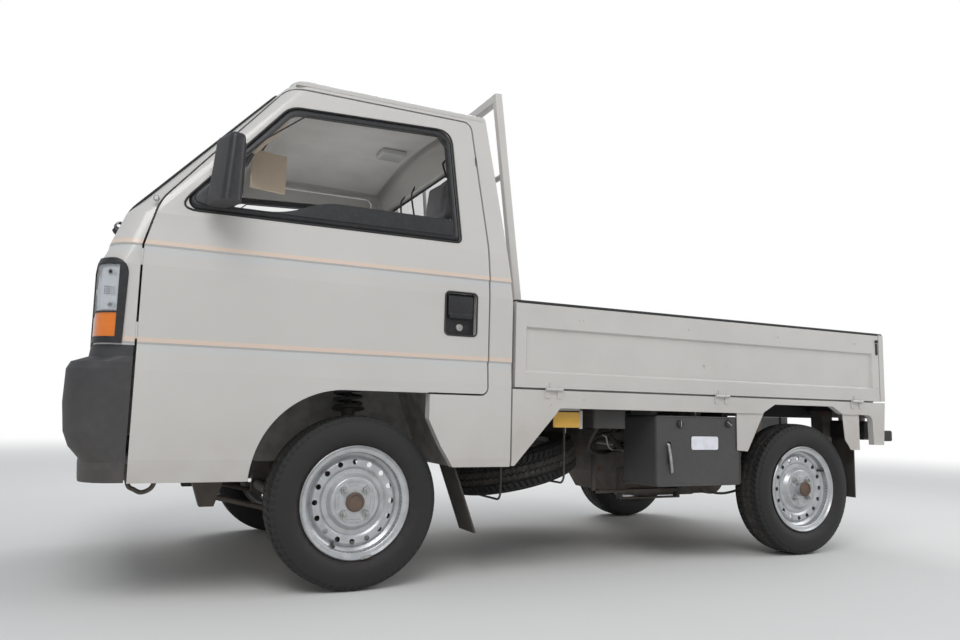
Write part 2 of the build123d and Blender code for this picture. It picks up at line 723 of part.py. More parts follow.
for piece, name in (
    (cab_front_panel, "cab_front_panel"),
    (pair(cab_side_left), "cab_side_panels"),
    (cab_back_panel, "cab_back_panel"),
    (roof, "roof"),
    (windscreen, "windscreen"),
    (rear_window, "rear_window"),
    (pair(lamp_bezel_left), "lamp_bezels"),
    (pair(headlamp_left), "headlamps"),
    (pair(indicator_left), "indicators"),
    (bumper, "bumper"),
    (cab_floor, "cab_floor"),
    (dashboard, "dashboard"),
    (seat_left, "seat_left"),
    (seat_right, "seat_right"),
    (steering_wheel, "steering_wheel"),
):
    save(piece, name)

# Bed: floor, sides and what stands at its front
BED_FRONT_X = 268
BED_REAR_X = -1545
BED_FLOOR_Z = 655
BED_SHEET = 10
RIB_RISE = 7
BED_HALF = 660
BED_BASE_Z = BED_FLOOR_Z - RIB_RISE - BED_SHEET
RIB_PITCH = 120
RIB_WIDTH = 56
BOARD_THICK = 20
BOARD_TOP_Z = 930
GATE_LOW_Z = 635
GATE_TOP_Z = 926
GATE_THICK = 28
FLANGE_OUTER_Y = HALF_WIDTH - GATE_THICK - PANEL_GAP
SILL_TOP_Z = 628
SILL_LOW_Z = 568
SILL_THICK = 26
FLANGE_SHEET = 12
FLANGE_INNER_Y = 631.5

with BuildPart() as bed_floor:
    with BuildSketch(Plane.YZ.offset(BED_REAR_X)):
        with Locations((0, BED_BASE_Z + BED_SHEET / 2)):
            Rectangle(2 * BED_HALF, BED_SHEET)
        with Locations((0, BED_FLOOR_Z - RIB_RISE / 2 - 1)):
            with GridLocations(RIB_PITCH, 0, 11, 1):
                Trapezoid(RIB_WIDTH, RIB_RISE + 2, 60)
    extrude(amount=BED_FRONT_X - BED_REAR_X - BOARD_THICK)
    # front board that closes the bed behind the cab
    with BuildSketch(Plane.YZ.offset(BED_FRONT_X - BOARD_THICK)):
        with Locations((0, BED_BASE_Z)):
            Rectangle(2 * BED_HALF, BOARD_TOP_Z - BED_BASE_Z, align=(Align.CENTER, Align.MIN))
    extrude(amount=BOARD_THICK)
    with BuildSketch(Plane.YZ.offset(BED_FRONT_X - BOARD_THICK)):
        with Locations((0, (BED_FLOOR_Z + BOARD_TOP_Z) / 2)):
            with GridLocations(400, 0, 3, 1):
                RectangleRounded(330, BOARD_TOP_Z - BED_FLOOR_Z - 80, 20)
    extrude(amount=5, mode=Mode.SUBTRACT)

# Gates hinge on pins outside their lower edges; their outlines are hollow pressings
HINGE_Z = 631
HINGE_OUT = 7
HINGE_R = 5
BARREL = 30
KNUCKLE = 18
KNUCKLE_STEP = (BARREL + KNUCKLE) / 2 + 0.5
LEAF = 3
GATE_FRONT_X = 264
GATE_REAR_X = BED_REAR_X + 1
GATE_FRAME = 40
GATE_RECESS = 9
TAIL_GATE_X = BED_REAR_X - PANEL_GAP
GATE_HINGES = 3


def gate_panel(length, hinge_count):
    """A gate lying on XZ with its outer face at Y = 0 and its lower edge at Z = 0."""
    height = GATE_TOP_Z - GATE_LOW_Z
    with BuildPart() as gate:
        with BuildSketch(Plane.XZ):
            Rectangle(length, height, align=(Align.CENTER, Align.MIN))
        extrude(amount=GATE_THICK)
        # long pressed field between the frame members
        with BuildSketch(Plane.XZ):
            with Locations((0, 52)):
                Rectangle(length - 2 * GATE_FRAME, height - 52 - 84, align=(Align.CENTER, Align.MIN))
        extrude(amount=GATE_RECESS, taper=35, mode=Mode.SUBTRACT)
        with BuildSketch(Plane.XZ.offset(GATE_THICK)):
            with Locations((0, 52)):
                Rectangle(length - 2 * GATE_FRAME, height - 52 - 84, align=(Align.CENTER, Align.MIN))
        extrude(amount=-GATE_RECESS, taper=35, mode=Mode.SUBTRACT)
        # hinge leaves and barrels
        with BuildSketch(Plane.XZ):
            with Locations((0, 6)):
                with GridLocations(hinge_pitch(length, hinge_count), 0, hinge_count, 1):
                    Rectangle(BARREL, 26)
        extrude(amount=-LEAF)
        with Locations((0, HINGE_OUT, HINGE_Z - GATE_LOW_Z)):
            with GridLocations(hinge_pitch(length, hinge_count), 1, hinge_count, 1):
                Cylinder(HINGE_R, BARREL, rotation=(0, 90, 0))
    return gate


def hinge_pitch(length, count):
    """Spacing of a gate's hinges."""
    return (length - 300) / (count - 1)


def hinge_knuckles(length, count):
    """Fixed hinge halves that stand either side of each gate barrel."""
    with BuildPart() as knuckles:
        with BuildSketch(Plane.XZ):
            with GridLocations(hinge_pitch(length, count), 0, count, 1):
                with Locations((-KNUCKLE_STEP, SILL_TOP_Z - GATE_LOW_Z - 12), (KNUCKLE_STEP, SILL_TOP_Z - GATE_LOW_Z - 12)):
                    Rectangle(KNUCKLE, 30)
        extrude(amount=-LEAF)
        for side in (-KNUCKLE_STEP, KNUCKLE_STEP):
            with Locations((side, HINGE_OUT, HINGE_Z - GATE_LOW_Z)):
                with GridLocations(hinge_pitch(length, count), 1, count, 1):
                    Cylinder(HINGE_R, KNUCKLE, rotation=(0, 90, 0))
    return knuckles


SIDE_GATE_LENGTH = GATE_FRONT_X - GATE_REAR_X
SIDE_GATE_X = (GATE_FRONT_X + GATE_REAR_X) / 2
TAIL_GATE_LENGTH = 2 * HALF_WIDTH - 2

REAR_FLAP_X = -1425
REAR_FLAP_TOP_Z = 470
STRAP_THICK = 5
STRAP_WIDTH = 30

# Bed side: sill with a skirt, cut out over the rear wheel, and the corner behind it
CORNER_LOW_X = (262, 102)
CORNER_LOW_Z = (374, 548)
REAR_ARCH = ((-850, SILL_LOW_Z), (-921, 606), (-1250, 606), (-1312, 574))
TAIL_X = (-1492, -1562)
TAIL_LOW_Z = 447

with BuildPart() as bed_side_left:
    with BuildSketch(Plane.XZ.offset(-HALF_WIDTH)):
        with BuildLine():
            Polyline(
                (CAB_REAR_X - PANEL_GAP, SILL_TOP_Z),
                (CAB_REAR_X - PANEL_GAP, CORNER_LOW_Z[0]),
                (CORNER_LOW_X[0], CORNER_LOW_Z[0]),
                (CORNER_LOW_X[1], CORNER_LOW_Z[1]),
                (CORNER_LOW_X[1] - 16, SILL_LOW_Z),
                *REAR_ARCH,
                (TAIL_X[0], 574),
                (TAIL_X[0] - 6, TAIL_LOW_Z),
                (TAIL_X[1], TAIL_LOW_Z),
                (TAIL_X[1] - 14, SILL_TOP_Z),
                close=True,
            )
        side_face = make_face()
        fillet(side_face.vertices().sort_by_distance((TAIL_X[0], 574))[0], 30)
        fillet(side_face.vertices().sort_by_distance(REAR_ARCH[1])[0], 60)
        fillet(side_face.vertices().sort_by_distance(REAR_ARCH[2])[0], 60)
    extrude(amount=SILL_THICK)
    with Locations((SIDE_GATE_X, HALF_WIDTH, GATE_LOW_Z)):
        add(hinge_knuckles(SIDE_GATE_LENGTH, GATE_HINGES).part)
    # flange that carries the floor
    with BuildSketch(Plane.YZ.offset(BED_REAR_X)):
        with BuildLine():
            Polyline(
                (HALF_WIDTH - SILL_THICK + 1, SILL_TOP_Z),
                (FLANGE_OUTER_Y, SILL_TOP_Z),
                (FLANGE_OUTER_Y, BED_BASE_Z),
                (FLANGE_INNER_Y, BED_BASE_Z),
                (FLANGE_INNER_Y, SILL_TOP_Z - FLANGE_SHEET),
                (HALF_WIDTH - SILL_THICK + 1, SILL_TOP_Z - FLANGE_SHEET),
                close=True,
            )
        make_face()
    extrude(amount=BED_FRONT_X - BED_REAR_X)

    # strap that holds the rear mud flap
    with BuildSketch(Plane.YZ.offset(REAR_FLAP_X - STRAP_THICK)):
        with Locations((FLANGE_INNER_Y + STRAP_WIDTH / 2 + 6, REAR_FLAP_TOP_Z - 36)):
            Rectangle(STRAP_WIDTH, SILL_TOP_Z - FLANGE_SHEET + 2 - REAR_FLAP_TOP_Z + 36, align=(Align.CENTER, Align.MIN))
    extrude(amount=STRAP_THICK)

side_gate = gate_panel(SIDE_GATE_LENGTH, GATE_HINGES)
tail_gate = gate_panel(TAIL_GATE_LENGTH, GATE_HINGES)

with BuildPart() as gate_left:
    with Locations((SIDE_GATE_X, HALF_WIDTH, GATE_LOW_Z)):
        add(side_gate.part)

with BuildPart() as tailgate:
    with Locations((TAIL_GATE_X - GATE_THICK, 0, GATE_LOW_Z)):
        add(tail_gate.part, rotation=(0, 0, 90))

# Rear beam under the tailgate, with the tail lamps and the rubber stops
BEAM_THICK = 22
BEAM_LOW_Z = 560
BEAM_LIP = 10
LAMP_BOX_Y = (464, 640)
LAMP_BOX_Z = (466, 548)
LAMP_BOX_DEPTH = 62
LAMP_BOX_REAR_X = -1574
STOP_HEIGHT = 46
STOP_Z = 486
STOP_BASE_X = -1562

with BuildPart() as rear_beam:
    with BuildSketch(Plane.XZ):
        with BuildLine():
            Polyline(
                (BED_REAR_X, SILL_TOP_Z),
                (BED_REAR_X - BEAM_THICK, SILL_TOP_Z),
                (BED_REAR_X - BEAM_THICK, BEAM_LOW_Z),
                (BED_REAR_X + BEAM_LIP, BEAM_LOW_Z),
                (BED_REAR_X + BEAM_LIP, BEAM_LOW_Z + 12),
                (BED_REAR_X, BEAM_LOW_Z + 12),
                close=True,
            )
        make_face()
    extrude(amount=HALF_WIDTH - SILL_THICK, both=True)
    with Locations((TAIL_GATE_X - GATE_THICK, 0, GATE_LOW_Z)):
        add(hinge_knuckles(TAIL_GATE_LENGTH, GATE_HINGES).part, rotation=(0, 0, 90))
    # leaves reach the beam under the gate
    with BuildSketch(Plane.XZ):
        with Locations((TAIL_GATE_X - GATE_THICK - LEAF, SILL_TOP_Z)):
            Rectangle(GATE_THICK + LEAF + PANEL_GAP, 8, align=(Align.MIN, Align.MAX))
    extrude(amount=TAIL_GATE_LENGTH / 2 - 70, both=True)
    # hangers of the lamp boxes and pads of the stops
    for sign in SIDES.values():
        with BuildSketch(Plane.XY.offset(LAMP_BOX_Z[1])):
            with Locations((LAMP_BOX_REAR_X + LAMP_BOX_DEPTH / 2, sign * sum(LAMP_BOX_Y) / 2)):
                Rectangle(24, 120)
        extrude(amount=BEAM_LOW_Z - LAMP_BOX_Z[1])

with BuildPart() as tail_lamps:
    for sign in SIDES.values():
        with BuildSketch(Plane.YZ.offset(LAMP_BOX_REAR_X)):
            with Locations((sign * sum(LAMP_BOX_Y) / 2, sum(LAMP_BOX_Z) / 2)):
                RectangleRounded(LAMP_BOX_Y[1] - LAMP_BOX_Y[0], LAMP_BOX_Z[1] - LAMP_BOX_Z[0], 10)
        extrude(amount=LAMP_BOX_DEPTH)

with BuildPart() as rear_stop_left:
    with BuildSketch(Plane.YZ.offset(STOP_X)):
        with Locations((HALF_WIDTH - SILL_THICK / 2, STOP_Z)):
            RectangleRounded(SILL_THICK - 4, STOP_HEIGHT, 8)
    extrude(amount=STOP_BASE_X - STOP_X)
    add(bed_side_left.part, mode=Mode.SUBTRACT)

# Spare wheel hung nose-down under the bed, in two wire cradles below the cross members
SPARE_CENTRE = (18, 205, 352)
SPARE_TILT = 14
TYRE_HALF = 72.5
WIRE_R = 4
WIRE_GAP = 0.8
CRADLE_SPANS = {-60: (490, -80), 180: (442, -32)}
CRADLE_BEND_R = 28

# Frame: two rails that run from the tail to the nose, dropping under the foot well
RAIL_Y = 320
RAIL_WIDTH = 60
RAIL_TOP_Z = 626
RAIL_HEIGHT = 70
RAIL_DROP_X = (970, 1085)
RAIL_NOSE_X = 1500
RAIL_NOSE_Z = 385
RAIL_REAR_X = -1560
BED_CROSS_XS = (BED_REAR_X + 25, -700, -330, -60, 180)
BED_CROSS_LOW_Z = BED_BASE_Z - 50
CAB_CROSS_XS = (400, 940)
NOSE_CROSS_XS = (1180, 1480)

with BuildPart() as chassis_frame:
    for sign in SIDES.values():
        with BuildSketch(Plane.XZ.offset(-sign * RAIL_Y)):
            with BuildLine():
                Polyline(
                    (BED_REAR_X + BEAM_LIP, RAIL_TOP_Z),
                    (RAIL_DROP_X[0], RAIL_TOP_Z),
                    (RAIL_DROP_X[1], RAIL_NOSE_Z),
                    (RAIL_NOSE_X, RAIL_NOSE_Z),
                    (RAIL_NOSE_X, RAIL_NOSE_Z - RAIL_HEIGHT),
                    (RAIL_DROP_X[1] - 30, RAIL_NOSE_Z - RAIL_HEIGHT),
                    (RAIL_DROP_X[0] - 50, RAIL_TOP_Z - RAIL_HEIGHT),
                    (BED_REAR_X + BEAM_LIP, RAIL_TOP_Z - RAIL_HEIGHT),
                    close=True,
                )
            make_face()
        extrude(amount=RAIL_WIDTH / 2, both=True)
    for cross_x in BED_CROSS_XS:
        with BuildSketch(Plane.XZ):
            with Locations((cross_x, BED_BASE_Z)):
                Rectangle(50, 50, align=(Align.CENTER, Align.MAX))
        extrude(amount=FLANGE_INNER_Y, both=True)
    for cross_x in CAB_CROSS_XS:
        with BuildSketch(Plane.XZ):
            with Locations((cross_x, PLATFORM_Z - FLOOR_THICK / 2)):
                Rectangle(60, 50, align=(Align.CENTER, Align.MAX))
        extrude(amount=RAIL_Y + RAIL_WIDTH / 2, both=True)
    for cross_x in NOSE_CROSS_XS:
        with BuildSketch(Plane.XZ):
            with Locations((cross_x, RAIL_NOSE_Z)):
                Rectangle(40, 40, align=(Align.CENTER, Align.MAX))
        extrude(amount=RAIL_Y, both=True)

# Wire cradles that hold the spare wheel, each hung from a cross member
with BuildPart() as spare_cradles:
    for cradle_x, (left_y, right_y) in CRADLE_SPANS.items():
        middle_drop = (cradle_x - SPARE_CENTRE[0]) * math.tan(math.radians(SPARE_TILT))
        half_height = TYRE_HALF / math.cos(math.radians(SPARE_TILT))
        cradle_z = SPARE_CENTRE[2] - middle_drop - half_height - WIRE_R - WIRE_GAP
        with BuildLine() as cradle_line:
            FilletPolyline(
                (cradle_x, left_y, BED_CROSS_LOW_Z),
                (cradle_x, left_y, cradle_z),
                (cradle_x, right_y, cradle_z),
                (cradle_x, right_y, BED_CROSS_LOW_Z),
                radius=CRADLE_BEND_R,
            )
        with BuildSketch(Plane(origin=cradle_line.wire() @ 0, z_dir=cradle_line.wire() % 0)):
            Circle(WIRE_R)
        sweep(path=cradle_line.wire())

# Wheels: pressed steel rims with tyres, drawn as radius and distance from the middle plane
TYRE_R = 265
WHEEL_Y = 595.5
WHEEL_Z = TYRE_R
BEAD_R = 155.6
BEAD_HALF = 49.2
RIM_SHEET = 4
DISC_SHEET = 4
HUB_FACE = 44
HOLE_COUNT = 16
HOLE_R = 8.5
HOLE_CIRCLE_R = 121
NUT_CIRCLE_R = 50
NUT_R = 10.5
NUT_HEIGHT = 15
CAP_R = 29
DRUM_R = 100
DRUM_DEPTH = 50
SPINDLE_R = 14
SPINDLE_FIT = 0.5

with BuildPart() as tyre:
    with BuildSketch():
        with BuildLine():
            Line((BEAD_R, -BEAD_HALF), (BEAD_R, BEAD_HALF))
            Line((BEAD_R, BEAD_HALF), (173, 51))
            ThreePointArc((173, 51), (211, TYRE_HALF), (249, 64))
            ThreePointArc((249, 64), (260, 56), (264, 44))
            ThreePointArc((264, 44), (TYRE_R, 0), (264, -44))
            ThreePointArc((264, -44), (260, -56), (249, -64))
            ThreePointArc((249, -64), (211, -TYRE_HALF), (173, -51))
            Line((173, -51), (BEAD_R, -BEAD_HALF))
        make_face()
    revolve(axis=Axis.Y)

RIM_LINE = (
    (171, 61), (165, 54.5), (153, 51), (151, 30), (139, 22),
    (139, -10), (151, -22), (153, -51), (165, -54.5), (171, -61),
)
DISC_LINE = ((27, HUB_FACE), (73, HUB_FACE), (88, 25), (97, 22), (109, 30), (127, 33), (138, 20))


def rim(cap_height):
    """Steel wheel with its nuts, hub cap and brake drum."""
    with BuildPart() as wheel:
        with BuildSketch():
            with BuildLine():
                barrel = FilletPolyline(*RIM_LINE, radius=3)
            trace(barrel, line_width=RIM_SHEET)
            with BuildLine():
                disc = FilletPolyline(*DISC_LINE, radius=5)
            trace(disc, line_width=DISC_SHEET)
        revolve(axis=Axis.Y)
        with Locations(Location((0, HUB_FACE - 40, 0), (-90, 0, 0))):
            with PolarLocations(HOLE_CIRCLE_R, HOLE_COUNT):
                Cylinder(HOLE_R, 60, align=(Align.CENTER, Align.CENTER, Align.MIN), mode=Mode.SUBTRACT)
        # brake drum behind the disc, open towards the backing plate
        with BuildSketch():
            with BuildLine():
                Polyline(
                    (SPINDLE_R + SPINDLE_FIT, HUB_FACE - DRUM_DEPTH),
                    (SPINDLE_R + SPINDLE_FIT, HUB_FACE - 2),
                    (0, HUB_FACE - 2),
                    (0, HUB_FACE + cap_height),
                    (CAP_R - 5, HUB_FACE + cap_height),
                    (CAP_R, HUB_FACE + cap_height - 5),
                    (CAP_R, HUB_FACE - 2),
                    (DRUM_R, HUB_FACE - 16),
                    (DRUM_R, HUB_FACE - DRUM_DEPTH),
                    (DRUM_R - 8, HUB_FACE - DRUM_DEPTH),
                    (DRUM_R - 8, HUB_FACE - 22),
                    (40, HUB_FACE - 12),
                    (30, HUB_FACE - DRUM_DEPTH),
                    close=True,
                )
            make_face()
        revolve(axis=Axis.Y)
        with Locations(Location((0, HUB_FACE - 1, 0), (-90, 0, 0))):
            with PolarLocations(NUT_CIRCLE_R, 4, start_angle=45):
                Cylinder(NUT_R, NUT_HEIGHT, align=(Align.CENTER, Align.CENTER, Align.MIN))
    return wheel


front_rim = rim(cap_height=10)
rear_rim = rim(cap_height=26)


def placed(piece, x, sign):
    """A wheel piece on its axle; the right-hand ones are mirrored."""
    with BuildPart() as spot:
        with Locations((x, WHEEL_Y, WHEEL_Z)):
            add(piece.part)
    return spot if sign > 0 else mirrored(spot)


# Front suspension: struts that steer, arms and rods that locate them
BALL_JOINT = (FRONT_AXLE_X, 545, 165)
STRUT_TOP = (FRONT_AXLE_X - 15, 462, 637)
STRUT_R = 23
PERCH_Z = 548
PERCH_R = 54
SPRING_R = 46
SPRING_WIRE_R = 6
SPRING_TURNS = 4
PLATE_R = 104
PLATE_Y = WHEEL_Y + HUB_FACE - DRUM_DEPTH - 6
UPRIGHT_THICK = 26
ARM_Y = 300
ARM_Z = 190
ARM_THICK = 16
ROD_FRONT = (1185, 325, 262)
ROD_REAR_Y = 385
BALL_R = 17
BALL_DEPTH = 16
BALL_RISE = 14
SEAT_GAP = 0.3
ROD_R = 9
RACK_X = FRONT_AXLE_X + 130
RACK_Z = 235
RACK_R = 22
RACK_HALF = 345

strut_line = Vector(*STRUT_TOP) - Vector(*BALL_JOINT)
strut_run = strut_line.normalized()


def on_strut(height):
    """Point of the steering axis at a height."""
    share = (height - BALL_JOINT[2]) / (STRUT_TOP[2] - BALL_JOINT[2])
    return Vector(*BALL_JOINT) + strut_line * share


with BuildPart() as front_strut_left:
    # backing plate and stub axle
    with BuildSketch(Plane.XZ.offset(-PLATE_Y)):
        with Locations((FRONT_AXLE_X, WHEEL_Z)):
            Circle(PLATE_R)
    extrude(amount=5)
    with BuildSketch(Plane.XZ.offset(-WHEEL_Y - HUB_FACE + 12)):
        with Locations((FRONT_AXLE_X, WHEEL_Z)):
            Circle(SPINDLE_R)
    extrude(amount=UPRIGHT_THICK + 82)
    # upright between the ball joint and the strut clamp
    with BuildSketch(Plane.XZ.offset(-PLATE_Y + 5)):
        with BuildLine():
            Polyline(
                (FRONT_AXLE_X - 20, BALL_JOINT[2] + BALL_RISE + 8),
                (FRONT_AXLE_X + 20, BALL_JOINT[2] + BALL_RISE + 8),
                (FRONT_AXLE_X + 42, WHEEL_Z),
                (FRONT_AXLE_X + 22, WHEEL_Z + 90),
                (FRONT_AXLE_X - 32, WHEEL_Z + 90),
                (FRONT_AXLE_X - 42, WHEEL_Z),
                close=True,
            )
        make_face()
    extrude(amount=UPRIGHT_THICK + 24)
    # ball stud, damper tube, spring seat and rod along the steering axis
    with BuildSketch(Plane(origin=Vector(*BALL_JOINT) + strut_run * (BALL_RISE + SEAT_GAP), z_dir=strut_line)):
        Circle(BALL_R - 5)
    extrude(amount=30)
    low = on_strut(WHEEL_Z + 20)
    with BuildSketch(Plane(origin=low, z_dir=strut_line)):
        Circle(STRUT_R)
    extrude(amount=(on_strut(PERCH_Z + 12) - low).length)
    with BuildSketch(Plane(origin=on_strut(PERCH_Z), z_dir=strut_line)):
        Circle(PERCH_R)
    extrude(amount=5)
    with BuildSketch(Plane(origin=on_strut(PERCH_Z), z_dir=strut_line)):
        Circle(11)
    extrude(amount=(on_strut(STRUT_TOP[2] - 3) - on_strut(PERCH_Z)).length)

with BuildPart() as front_arms:
    for sign in SIDES.values():
        # flat lower arm from the frame bracket out to the ball joint
        with BuildSketch(Plane.YZ.offset(FRONT_AXLE_X - 28)):
            with BuildLine():
                Polyline(
                    (sign * ARM_Y, ARM_Z),
                    (sign * (BALL_JOINT[1] + 18), BALL_JOINT[2] - 14),
                    (sign * (BALL_JOINT[1] + 18), BALL_JOINT[2] - 14 - ARM_THICK),
                    (sign * ARM_Y, ARM_Z - ARM_THICK),
                    close=True,
                )
            make_face()
        extrude(amount=56)
        # ball joint housing, square to the steering axis
        steer_axis = Vector(strut_run.X, sign * strut_run.Y, strut_run.Z)
        ball = Vector(BALL_JOINT[0], sign * BALL_JOINT[1], BALL_JOINT[2])
        with BuildSketch(Plane(origin=ball - steer_axis * BALL_DEPTH, z_dir=steer_axis)):
            Circle(BALL_R)
        extrude(amount=BALL_DEPTH + BALL_RISE)
        # bracket that hangs from the rail
        with BuildSketch(Plane.XZ.offset(-sign * (ARM_Y + 20))):
            with BuildLine():
                Polyline(
                    (FRONT_AXLE_X - 60, RAIL_TOP_Z - RAIL_HEIGHT),
                    (FRONT_AXLE_X + 60, RAIL_TOP_Z - RAIL_HEIGHT),
                    (FRONT_AXLE_X + 36, ARM_Z - ARM_THICK - 8),
                    (FRONT_AXLE_X - 36, ARM_Z - ARM_THICK - 8),
                    close=True,
                )
            make_face()
        extrude(amount=20, both=True)
        # radius rod with its front bracket under the foot well
        rod_start = Vector(ROD_FRONT[0], sign * ROD_FRONT[1], ROD_FRONT[2])
        rod_end = Vector(FRONT_AXLE_X + 20, sign * ROD_REAR_Y, ARM_Z - ARM_THICK)
        with BuildSketch(Plane(origin=rod_start, z_dir=rod_end - rod_start)):
            Circle(ROD_R)
        extrude(amount=(rod_end - rod_start).length)
        with BuildSketch(Plane.XZ.offset(-sign * ROD_FRONT[1])):
            with BuildLine():
                Polyline(
                    (ROD_FRONT[0] - 50, RAIL_NOSE_Z - RAIL_HEIGHT),
                    (ROD_FRONT[0] + 50, RAIL_NOSE_Z - RAIL_HEIGHT),
                    (ROD_FRONT[0] + 22, ROD_FRONT[2] - 34),
                    (ROD_FRONT[0] - 22, ROD_FRONT[2] - 34),
                    close=True,
                )
            make_face()
        extrude(amount=24, both=True)
    # steering rack across the frame, with its boots
    with BuildSketch(Plane.XZ):
        with Locations((RACK_X, RACK_Z)):
            Circle(RACK_R)
    extrude(amount=RACK_HALF, both=True)
    for sign in SIDES.values():
        with BuildSketch(Plane.XZ.offset(-sign * ARM_Y)):
            with BuildLine():
                Polyline(
                    (RACK_X - 60, RAIL_TOP_Z - RAIL_HEIGHT),
                    (RACK_X, RAIL_TOP_Z - RAIL_HEIGHT),
                    (RACK_X + 30, RACK_Z - 30),
                    (RACK_X - 30, RACK_Z - 30),
                    close=True,
                )
            make_face()
        extrude(amount=10, both=True)


# Rear axle: a tube behind the hubs, leaf springs and half shafts
AXLE_TUBE_X = REAR_AXLE_X - 130
AXLE_TUBE_Z = 262
AXLE_TUBE_R = 32
CARRIER_Y = 513
CARRIER_THICK = 36
HUB_BOSS_R = 56
SPRING_Y = 425
SPRING_WIDTH = 50
LEAF_THICK = 8
SPRING_HALF = 400
SPRING_SAG = 62
SPRING_LOW_Z = 310
SPRING_X = REAR_AXLE_X + 14
SHACKLE_THICK = 8

with BuildPart() as rear_axle:
    with BuildSketch(Plane.XZ):
        with Locations((AXLE_TUBE_X, AXLE_TUBE_Z)):
            Circle(AXLE_TUBE_R)
    extrude(amount=CARRIER_Y, both=True)
    for sign in SIDES.values():
        # hub carriers join the tube to the backing plates
        with BuildSketch(Plane.XZ.offset(-sign * CARRIER_Y)):
            with BuildLine():
                Polyline(
                    (AXLE_TUBE_X - 36, AXLE_TUBE_Z - 36),
                    (REAR_AXLE_X + 34, WHEEL_Z - 36),
                    (REAR_AXLE_X + 34, WHEEL_Z + 36),
                    (AXLE_TUBE_X - 36, AXLE_TUBE_Z + 36),
                    close=True,
                )
            make_face()
        extrude(amount=sign * CARRIER_THICK)
        with BuildSketch(Plane.XZ.offset(-sign * PLATE_Y)):
            with Locations((REAR_AXLE_X, WHEEL_Z)):
                Circle(PLATE_R)
        extrude(amount=sign * 5)
        with BuildSketch(Plane.XZ.offset(-sign * PLATE_Y)):
            with Locations((REAR_AXLE_X, WHEEL_Z)):
                Circle(HUB_BOSS_R)
        extrude(amount=sign * (PLATE_Y - CARRIER_Y + 4))
        with BuildSketch(Plane.XZ.offset(-sign * (WHEEL_Y + HUB_FACE - 12))):
            with Locations((REAR_AXLE_X, WHEEL_Z)):
                Circle(SPINDLE_R)
        extrude(amount=sign * (WHEEL_Y + HUB_FACE - 12 - PLATE_Y + 2))
        # spring seat on top of the tube's hub carrier
        with BuildSketch(Plane.XY.offset(AXLE_TUBE_Z)):
            with Locations((SPRING_X, sign * SPRING_Y)):
                Rectangle(110, SPRING_WIDTH + 10)
        extrude(amount=SPRING_LOW_Z - AXLE_TUBE_Z)
        with BuildSketch(Plane.XY.offset(AXLE_TUBE_Z - 20)):
            with Locations(((SPRING_X + AXLE_TUBE_X) / 2, sign * SPRING_Y)):
                Rectangle(SPRING_X - AXLE_TUBE_X + 110, SPRING_WIDTH + 10)
        extrude(amount=24)

with BuildPart() as leaf_springs:
    for sign in SIDES.values():
        for number, half in enumerate((SPRING_HALF, 0.72 * SPRING_HALF, 0.45 * SPRING_HALF)):
            sag = SPRING_SAG * (half / SPRING_HALF) ** 2
            base = SPRING_LOW_Z + LEAF_THICK * (2.5 - number)
            with BuildSketch(Plane.XZ.offset(-sign * SPRING_Y)):
                with BuildLine():
                    leaf = ThreePointArc(
                        (SPRING_X - half, base + sag), (SPRING_X, base), (SPRING_X + half, base + sag)
                    )
                trace(leaf, line_width=LEAF_THICK)
            extrude(amount=SPRING_WIDTH / 2, both=True)
        # clamp plate over the leaves and the hangers up to the frame
        with BuildSketch(Plane.XZ.offset(-sign * SPRING_Y)):
            with Locations((SPRING_X, SPRING_LOW_Z + 3 * LEAF_THICK - 1)):
                Rectangle(90, 12, align=(Align.CENTER, Align.MIN))
        extrude(amount=SPRING_WIDTH / 2 + 8, both=True)
        for end in (-1, 1):
            eye_x = SPRING_X + end * SPRING_HALF
            eye_z = SPRING_LOW_Z + 2.5 * LEAF_THICK + SPRING_SAG
            with BuildSketch(Plane.XZ.offset(-sign * SPRING_Y)):
                with Locations((eye_x, eye_z)):
                    Circle(20)
            extrude(amount=SPRING_WIDTH / 2, both=True)
            with BuildSketch(Plane.XZ.offset(-sign * SPRING_Y)):
                with BuildLine():
                    Polyline(
                        (eye_x - 24, eye_z - 16),
                        (eye_x + 24, eye_z - 16),
                        (eye_x + 32, BED_CROSS_LOW_Z),
                        (eye_x - 32, BED_CROSS_LOW_Z),
                        close=True,
                    )
                make_face()
            extrude(amount=SPRING_WIDTH / 2 + SHACKLE_THICK, both=True)
            with BuildSketch(Plane.XZ.offset(-sign * SPRING_Y)):
                with Locations((eye_x, eye_z + 40)):
                    Rectangle(140, 30)
            extrude(amount=SPRING_WIDTH / 2 - 4, both=True, mode=Mode.SUBTRACT)

# Engine and gearbox as one block ahead of the rear axle, with half shafts and silencer
ENGINE_X = (-1010, -520)
ENGINE_HALF = 235
ENGINE_Z = (205, 540)
DIFF_R = 82
DIFF_HALF = 110
SHAFT_R = 15
EXHAUST_X = -1390
EXHAUST_Z = 395
EXHAUST_SIZE = (150, 110)
EXHAUST_HALF = 235
PIPE_R = 20
STRAP_LENGTH = BED_CROSS_LOW_Z + 50 - EXHAUST_Z - EXHAUST_SIZE[1] / 2 + 3

